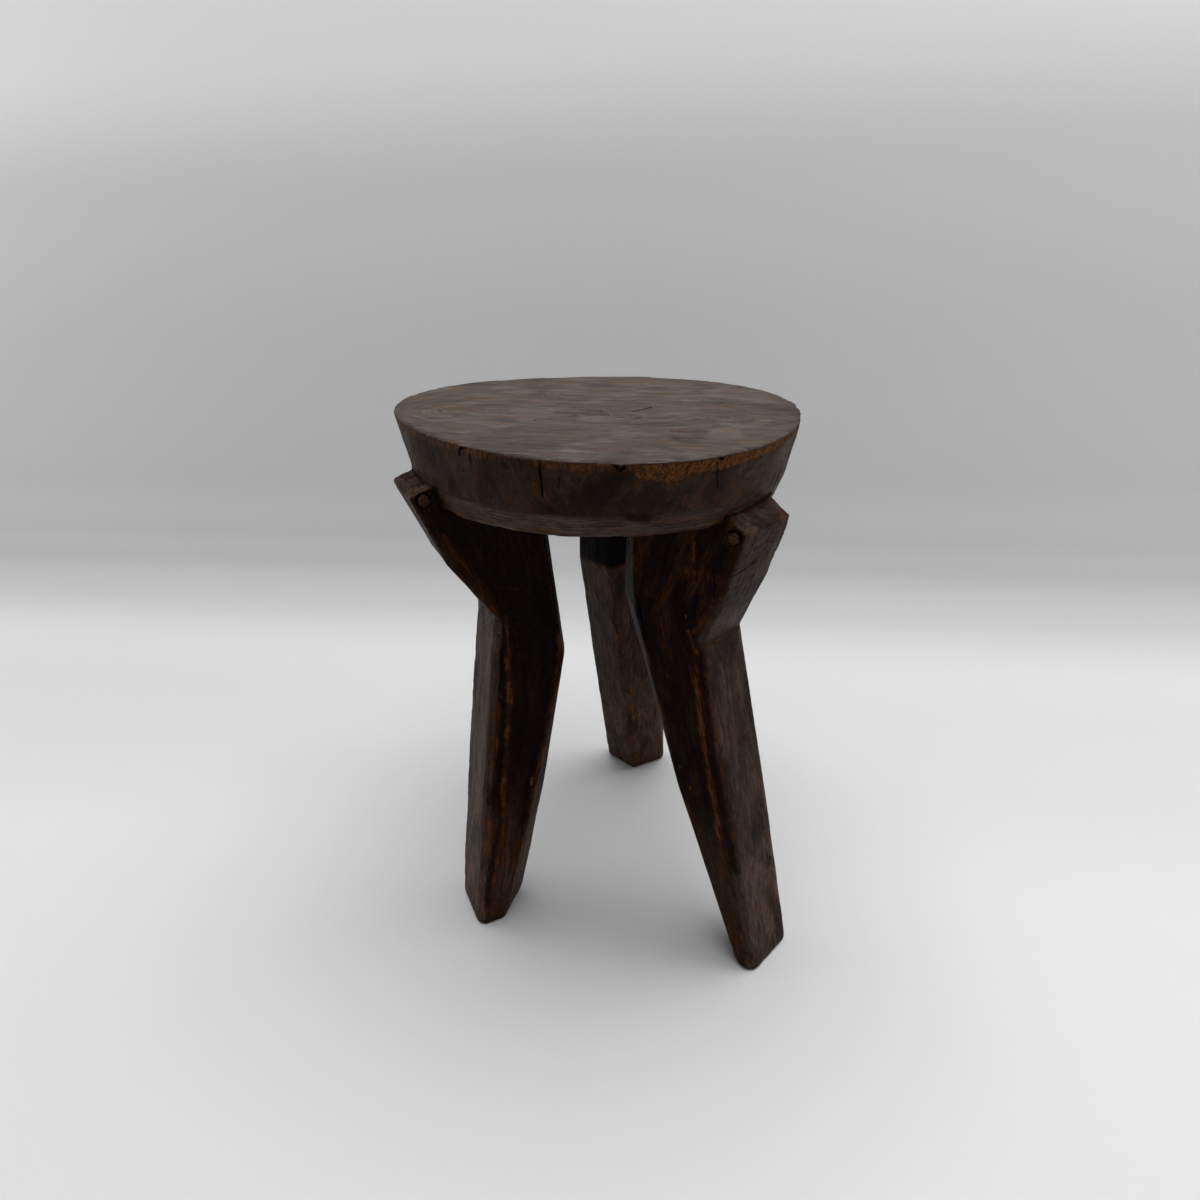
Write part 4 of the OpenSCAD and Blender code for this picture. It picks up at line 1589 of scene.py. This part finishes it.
# Cracks, knots, stains and rubbed places of the slab, read off the photograph
SEAT_MARKS = (
    Mark(Channel.CRACK, top((23.9, -4.2), (29, 2.6), (34, 11.5)), 1.5, 1.0, 1.3, 0.5),
    Mark(Channel.CRACK, top((-35.9, -42.6)), 1.5, 1.0, 1.0, 0.5),
    Mark(Channel.RAW, top((53.6, -67.3), (61.5, -66.4)), 1.5, 1.0, 0.5, 0.5),
    Mark(Channel.RAW, top((55.4, -85.5), (73.7, -82.8)), 1.1, 0.8, 0.5, 0.4),
    Mark(Channel.CRACK, top((58, -66.0), (73.2, -64.2)), 0.9, 0.8, 0.5, 0.4),
    Mark(Channel.WEAR, top((4, -119), (20, -117)), 1.6, 0.9, 0.2, 0.8),
    Mark(Channel.RAW, top((-74.4, -106), (-65, -114.5)), 1.3, 1.0, 0.3, 0.5),
    Mark(Channel.CRACK, rim((241.5, -0.5), (241.2, 3), (240.7, 6.1)), 1.4, 1.0, 2.0, 0.5),
    Mark(Channel.CRACK, rim((245.0, 4.3), (245.0, 9.1)), 0.8, 0.9, 0.7, 0.3),
    Mark(Channel.CRACK, rim((265.3, 1.7), (265.3, 12), (265.0, 22.2)), 0.9, 1.0, 1.3, 0.4),
    Mark(Channel.CRACK, rim((269.6, 9.3), (269.3, 16.1)), 0.7, 0.8, 0.6, 0.3),
    Mark(Channel.WEAR, rim((241.7, 18.3)), 3.0, 0.8, 0.0, 1.0),
    Mark(Channel.WEAR, rim((244.7, 27.8), (249.3, 36.1)), 1.6, 0.9, 0.2, 0.8),
    Mark(Channel.WEAR, rim((254.2, 18.9), (254.5, 34.9)), 1.4, 0.8, 0.0, 0.8),
    Mark(Channel.WEAR, rim((250, 11), (256, 12)), 6.0, 0.5, 0.0, 2.5),
    Mark(Channel.SOOT, rim((256.3, 6.5)), 3.4, 0.8, 0.3, 1.4),
    Mark(Channel.CRACK, rim((281.8, 1.6), (282.7, 4.0), (283.4, 2.2)), 1.5, 1.0, 1.3, 0.8),
    Mark(Channel.SOOT, rim((281.1, 8.5), (279, 16)), 12.0, 0.6, 0.3, 3.0),
    Mark(Channel.CRACK, rim((305.6, -0.5), (305.6, 2.8)), 1.5, 1.0, 1.7, 0.6),
    Mark(Channel.CRACK, rim((304.1, 3.6), (305, 12), (306.6, 20.6)), 0.7, 0.8, 0.7, 0.4),
    Mark(Channel.SOOT, rim((286, 35), (290, 37)), 5.0, 0.8, 0.2, 2.0),
    Mark(Channel.SOOT, rim((294.4, 26.7)), 4.5, 0.6, 0.2, 2.0),
    Mark(Channel.CRACK, rim((311, 12), (318, 13), (326, 15)), 0.6, 0.5, 0.35, 0.8),
    Mark(Channel.CRACK, rim((313, 19), (322, 21), (331, 20)), 0.6, 0.5, 0.35, 0.9),
    Mark(Channel.CRACK, rim((316, 26), (325, 27), (333, 25)), 0.6, 0.5, 0.35, 0.9),
    Mark(Channel.WEAR, rim((222, 20), (224, 30)), 2.0, 0.5, 0.0, 1.5),
    Mark(Channel.CRACK, rim((214, 8), (215, 22)), 0.7, 0.6, 0.5, 0.6),
    Mark(Channel.CRACK, rim((228, 10), (227.5, 19)), 0.6, 0.6, 0.4, 0.5),
    # Sides away from the photograph: a long drying crack and a small knot
    Mark(Channel.CRACK, rim((72.0, 3), (71.2, 14), (71.8, 27)), 0.9, 1.0, 1.2, 0.5),
    Mark(Channel.CRACK, rim((112.0, 6), (112.6, 16)), 0.7, 0.9, 0.7, 0.4),
    Mark(Channel.CRACK, rim((158.0, 5), (157.2, 18)), 0.8, 0.9, 0.9, 0.5),
    Mark(Channel.SOOT, rim((132.0, 14)), 8.0, 0.7, 0.2, 3.0),
    Mark(Channel.CRACK, rim((20.0, 8), (20.8, 17)), 0.7, 0.8, 0.6, 0.4),
)
# Rubbed arrises with dark lines beside them, knots and splits of the front left leg
LEFT_MARKS = (
    Mark(Channel.WEAR, flank(25.5, (87.8, 271.1), (88.1, 257), (88.1, 243.7)), 2.6, 0.8, 0.0, 1.2),
    Mark(Channel.WEAR, flank(
        25.5, (89.1, 244.2), (91.7, 201.9), (101.7, 137), (104.3, 128.6), (104.3, 99.7), (114.2, 66.8),
        (124, 9),
    ), 5.0, 0.78, 0.0, 1.5),
    Mark(Channel.SOOT, flank(
        25.5, (93.5, 244.2), (95.5, 201.9), (105.5, 137), (108, 99.7), (117.5, 66.8), (127, 20),
    ), 3.0, 0.6, 0.0, 1.2),
    Mark(Channel.WEAR, ((100.3, 24.1, 213.9), (92.2, 25.5, 202.8)), 1.3, 0.9, 0.3, 0.4),
    Mark(Channel.CRACK, flank(25.5, (82.6, 267.2)), 1.4, 1.0, 0.8, 0.4),
    Mark(Channel.CRACK, flank(25.5, (81.4, 258.7)), 1.2, 1.0, 0.7, 0.4),
    Mark(Channel.CRACK, flank(25.5, (81.5, 243.5)), 1.3, 1.0, 0.7, 0.4),
    Mark(Channel.WEAR, flank(25.5, (109.4, 298.4), (90, 293.5), (74, 289)), 1.2, 0.5, 0.2, 0.5),
    Mark(Channel.WEAR, flank(25.5, (80, 304.4), (64, 302.3)), 1.2, 0.4, 0.2, 0.5),
    Mark(Channel.WEAR, flank(25.3, (123.9, 336.7), (109.2, 309.3), (96.6, 283.8)), 5.0, 0.62, 0.0, 1.8),
    Mark(Channel.WEAR, flank(25.5, (57.6, 324), (53.7, 284.7), (52.9, 262.7)), 1.3, 0.7, 0.0, 0.6),
    Mark(Channel.WEAR, flank(
        25.0, (50.1, 253.6), (49.2, 236.7), (51.6, 228.4), (65.5, 163), (76.4, 131.3), (84.5, 86.5),
        (93.9, 31.4), (107.9, 6.6),
    ), 4.5, 0.70, 0.0, 1.5),
    Mark(Channel.RAW, flank(25.5, (79.9, 131.1), (80.4, 124.6)), 1.4, 0.9, 0.0, 0.6),
    Mark(Channel.WEAR, ((128, -4, 364), (131, 10, 366), (130, 25, 366)), 3.5, 0.8, 0.0, 1.5),
)
# The same of the front right leg, whose bend and thigh are rubbed the most
RIGHT_MARKS = (
    Mark(Channel.WEAR, flank(-25.3, (101.3, 332.6), (101.5, 319.9)), 3.4, 0.78, 0.2, 1.1),
    Mark(Channel.WEAR, flank(-25.5, (88, 308), (100, 313), (124, 311)), 8.0, 0.6, 0.0, 3.0),
    Mark(Channel.CRACK, flank(-25.5, (103, 325), (104, 309)), 0.7, 0.7, 0.5, 0.5),
    Mark(Channel.CRACK, flank(-25.5, (110, 322), (111, 303)), 0.7, 0.7, 0.5, 0.5),
    Mark(Channel.CRACK, flank(-25.5, (117, 318), (118, 299)), 0.7, 0.7, 0.5, 0.5),
    Mark(Channel.CRACK, flank(-25.5, (122, 326), (123.5, 312)), 0.7, 0.6, 0.4, 0.5),
    Mark(Channel.WEAR, ((106, -22.3, 258.5), (108.5, -6, 258.5), (107.8, 10.2, 258.6)), 2.4, 0.9, 0.2, 1.2),
    Mark(Channel.WEAR, ((97.9, -25.5, 269.7), (105, -24.6, 253.8)), 3.4, 0.9, 0.0, 1.4),
    Mark(Channel.WEAR, flank(-25.4, (115.7, 292.9), (102.6, 269)), 3.4, 0.78, 0.2, 1.0),
    Mark(Channel.RAW, flank(-25.5, (96, 279.3)), 1.5, 0.9, 0.2, 0.6),
    Mark(Channel.RAW, flank(-25.5, (96.9, 269.3)), 1.5, 0.9, 0.2, 0.6),
    Mark(Channel.WEAR, flank(-25.5, (92.3, 157.4)), 2.7, 0.99, 0.0, 0.6),
    Mark(Channel.WEAR, flank(-25.5, (101.6, 143.1)), 2.7, 0.99, 0.0, 0.6),
    Mark(Channel.WEAR, flank(-25.5, (80.7, 228.8)), 4.0, 0.7, 0.0, 1.5),
    Mark(Channel.WEAR, flank(-25.5, (77.5, 250.9)), 4.0, 0.7, 0.0, 1.5),
    Mark(Channel.SOOT, (
        (105.9, -23.9, 252.4), (110.6, -23.8, 231.5), (118.5, -25, 191.1), (127, -24.6, 154.2),
        (136.7, -23.9, 111.9), (142.8, -22.8, 86.9),
    ), 3.6, 0.72, 0.0, 1.3),
    Mark(Channel.WEAR, (
        (110.6, -22.1, 238.8), (115.6, -22, 216.5), (120.1, -23.3, 190.9), (126.7, -23, 161.8),
        (135.4, -21.2, 130.3), (138.1, -22.3, 111.7),
    ), 3.8, 0.66, 0.0, 1.3),
    Mark(Channel.WEAR, flank(
        -25.4, (102.3, 242.6), (106.2, 225.2), (113.1, 185.9), (117, 166.9), (125.7, 127.5), (129.4, 105.1),
        (132.8, 82.3),
    ), 6.0, 0.74, 0.0, 1.8),
    Mark(Channel.WEAR, flank(-25.4, (125.7, 127), (129.2, 106)), 4.0, 0.9, 0.0, 1.4),
    Mark(Channel.WEAR, ((149.9, -24.9, 35.9), (156.7, -24.8, 9.4)), 3.2, 0.9, 0.0, 1.2),
    Mark(Channel.CRACK, ((146.1, 11.3, 81.9),), 1.3, 0.9, 0.6, 0.5),
    Mark(Channel.SOOT, ((147.4, 11.6, 75.6),), 7.0, 0.6, 0.0, 2.0),
    Mark(Channel.CRACK, flank(-25.5, (53.7, 282.6), (56.2, 271.9), (60.4, 250)), 1.4, 1.0, 0.9, 0.5),
    Mark(
        Channel.CRACK, ((130.4, -23.3, 316.7), (131, -12, 318.5), (131.6, -1.3, 320.3)), 0.9, 0.9, 0.6, 0.4,
    ),
    # Colours nothing: it lowers the far corner of the shoulder's top
    Mark(Channel.SOOT, ((126, 25.5, 350), (134, 25.5, 350)), 15.0, 0.0, 1.1, 0.0),
)
# The few that show on the back leg's inner side, and one split on its outer side
BACK_MARKS = (
    Mark(Channel.WEAR, ((56.8, -9.6, 187.1), (88, -6, 100), (123, -2.9, 8.9)), 3.4, 0.72, 0.0, 1.3),
    Mark(Channel.SOOT, ((92.8, 22.6, 121.4),), 6.0, 0.5, 0.0, 2.5),
    Mark(Channel.SOOT, ((105, 22.7, 90.1),), 6.0, 0.5, 0.0, 2.5),
    Mark(Channel.WEAR, ((78, 6, 150), (74, 9, 140)), 2.2, 0.7, 0.0, 1.2),
    Mark(Channel.CRACK, ((168, 4, 26), (163, 3, 48)), 1.5, 0.81, 0.9, 0.5),
)


def stool_pieces() -> list[HewnPiece | Peg]:
    """Lists the stool's seven pieces in building order.

    Returns:
        The pieces, each with a build method.
    """
    legs = ("leg_left", "leg_right", "leg_back")
    pegs = ("peg_left", "peg_right", "peg_back")
    brown = replace(PEG_WOOD, name="WhittledPegEndBrown", core="#3a2214")
    return [
        SeatSlab("seat", "seat_wood", SEAT_WOOD, legs + pegs, voxel=1.6, marks=SEAT_MARKS, seed=3),
        Leg(
            "leg_left", "leg_wood", LEG_WOOD, ("seat", "peg_left"), marks=LEFT_MARKS, seed=31,
            azimuth=213.0, bend=(65.75, 246.0), sole=112.75, tip=(142.5, 365.5), knee=(37.0, 222.0),
            warmth=-0.3, film_and_sheen_out=1.25,
        ),
        Leg(
            "leg_right", "leg_wood", LEG_WOOD, ("seat", "peg_right"), marks=RIGHT_MARKS, seed=47,
            azimuth=324.6, bend=(64.0, 268.5), sole=145.5, tip=(140.0, 346.0), knee=(20.5, 277.0),
            warmth=0.9, film_and_sheen_out=0.65,
        ),
        Leg(
            "leg_back", "leg_wood", LEG_WOOD, ("seat", "peg_back"), marks=BACK_MARKS, seed=59,
            azimuth=89.0, bend=(59.5, 268.0), sole=142.75, tip=(140.5, 354.0), knee=(18.0, 271.0),
            film_in=0.6,
        ),
        Peg("peg_left", 213.0, PEG_WOOD, rubbed=0.2, lower_shade=0.75, cut=1.6, seed=5),
        Peg("peg_right", 324.6, brown, rubbed=0.8, lower_shade=0.5, cut=4.5, flipped=True, seed=6),
        Peg("peg_back", 89.0, PEG_WOOD, rubbed=0.4, lower_shade=0.6, seed=7),
    ]


def main() -> None:
    """Builds the studio and every piece."""
    logging.basicConfig(level=logging.INFO, format="%(name)s: %(message)s")
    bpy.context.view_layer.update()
    Studio().build()
    for piece in stool_pieces():
        piece.build()
    bpy.context.view_layer.update()


if __name__ == "__main__":
    main()
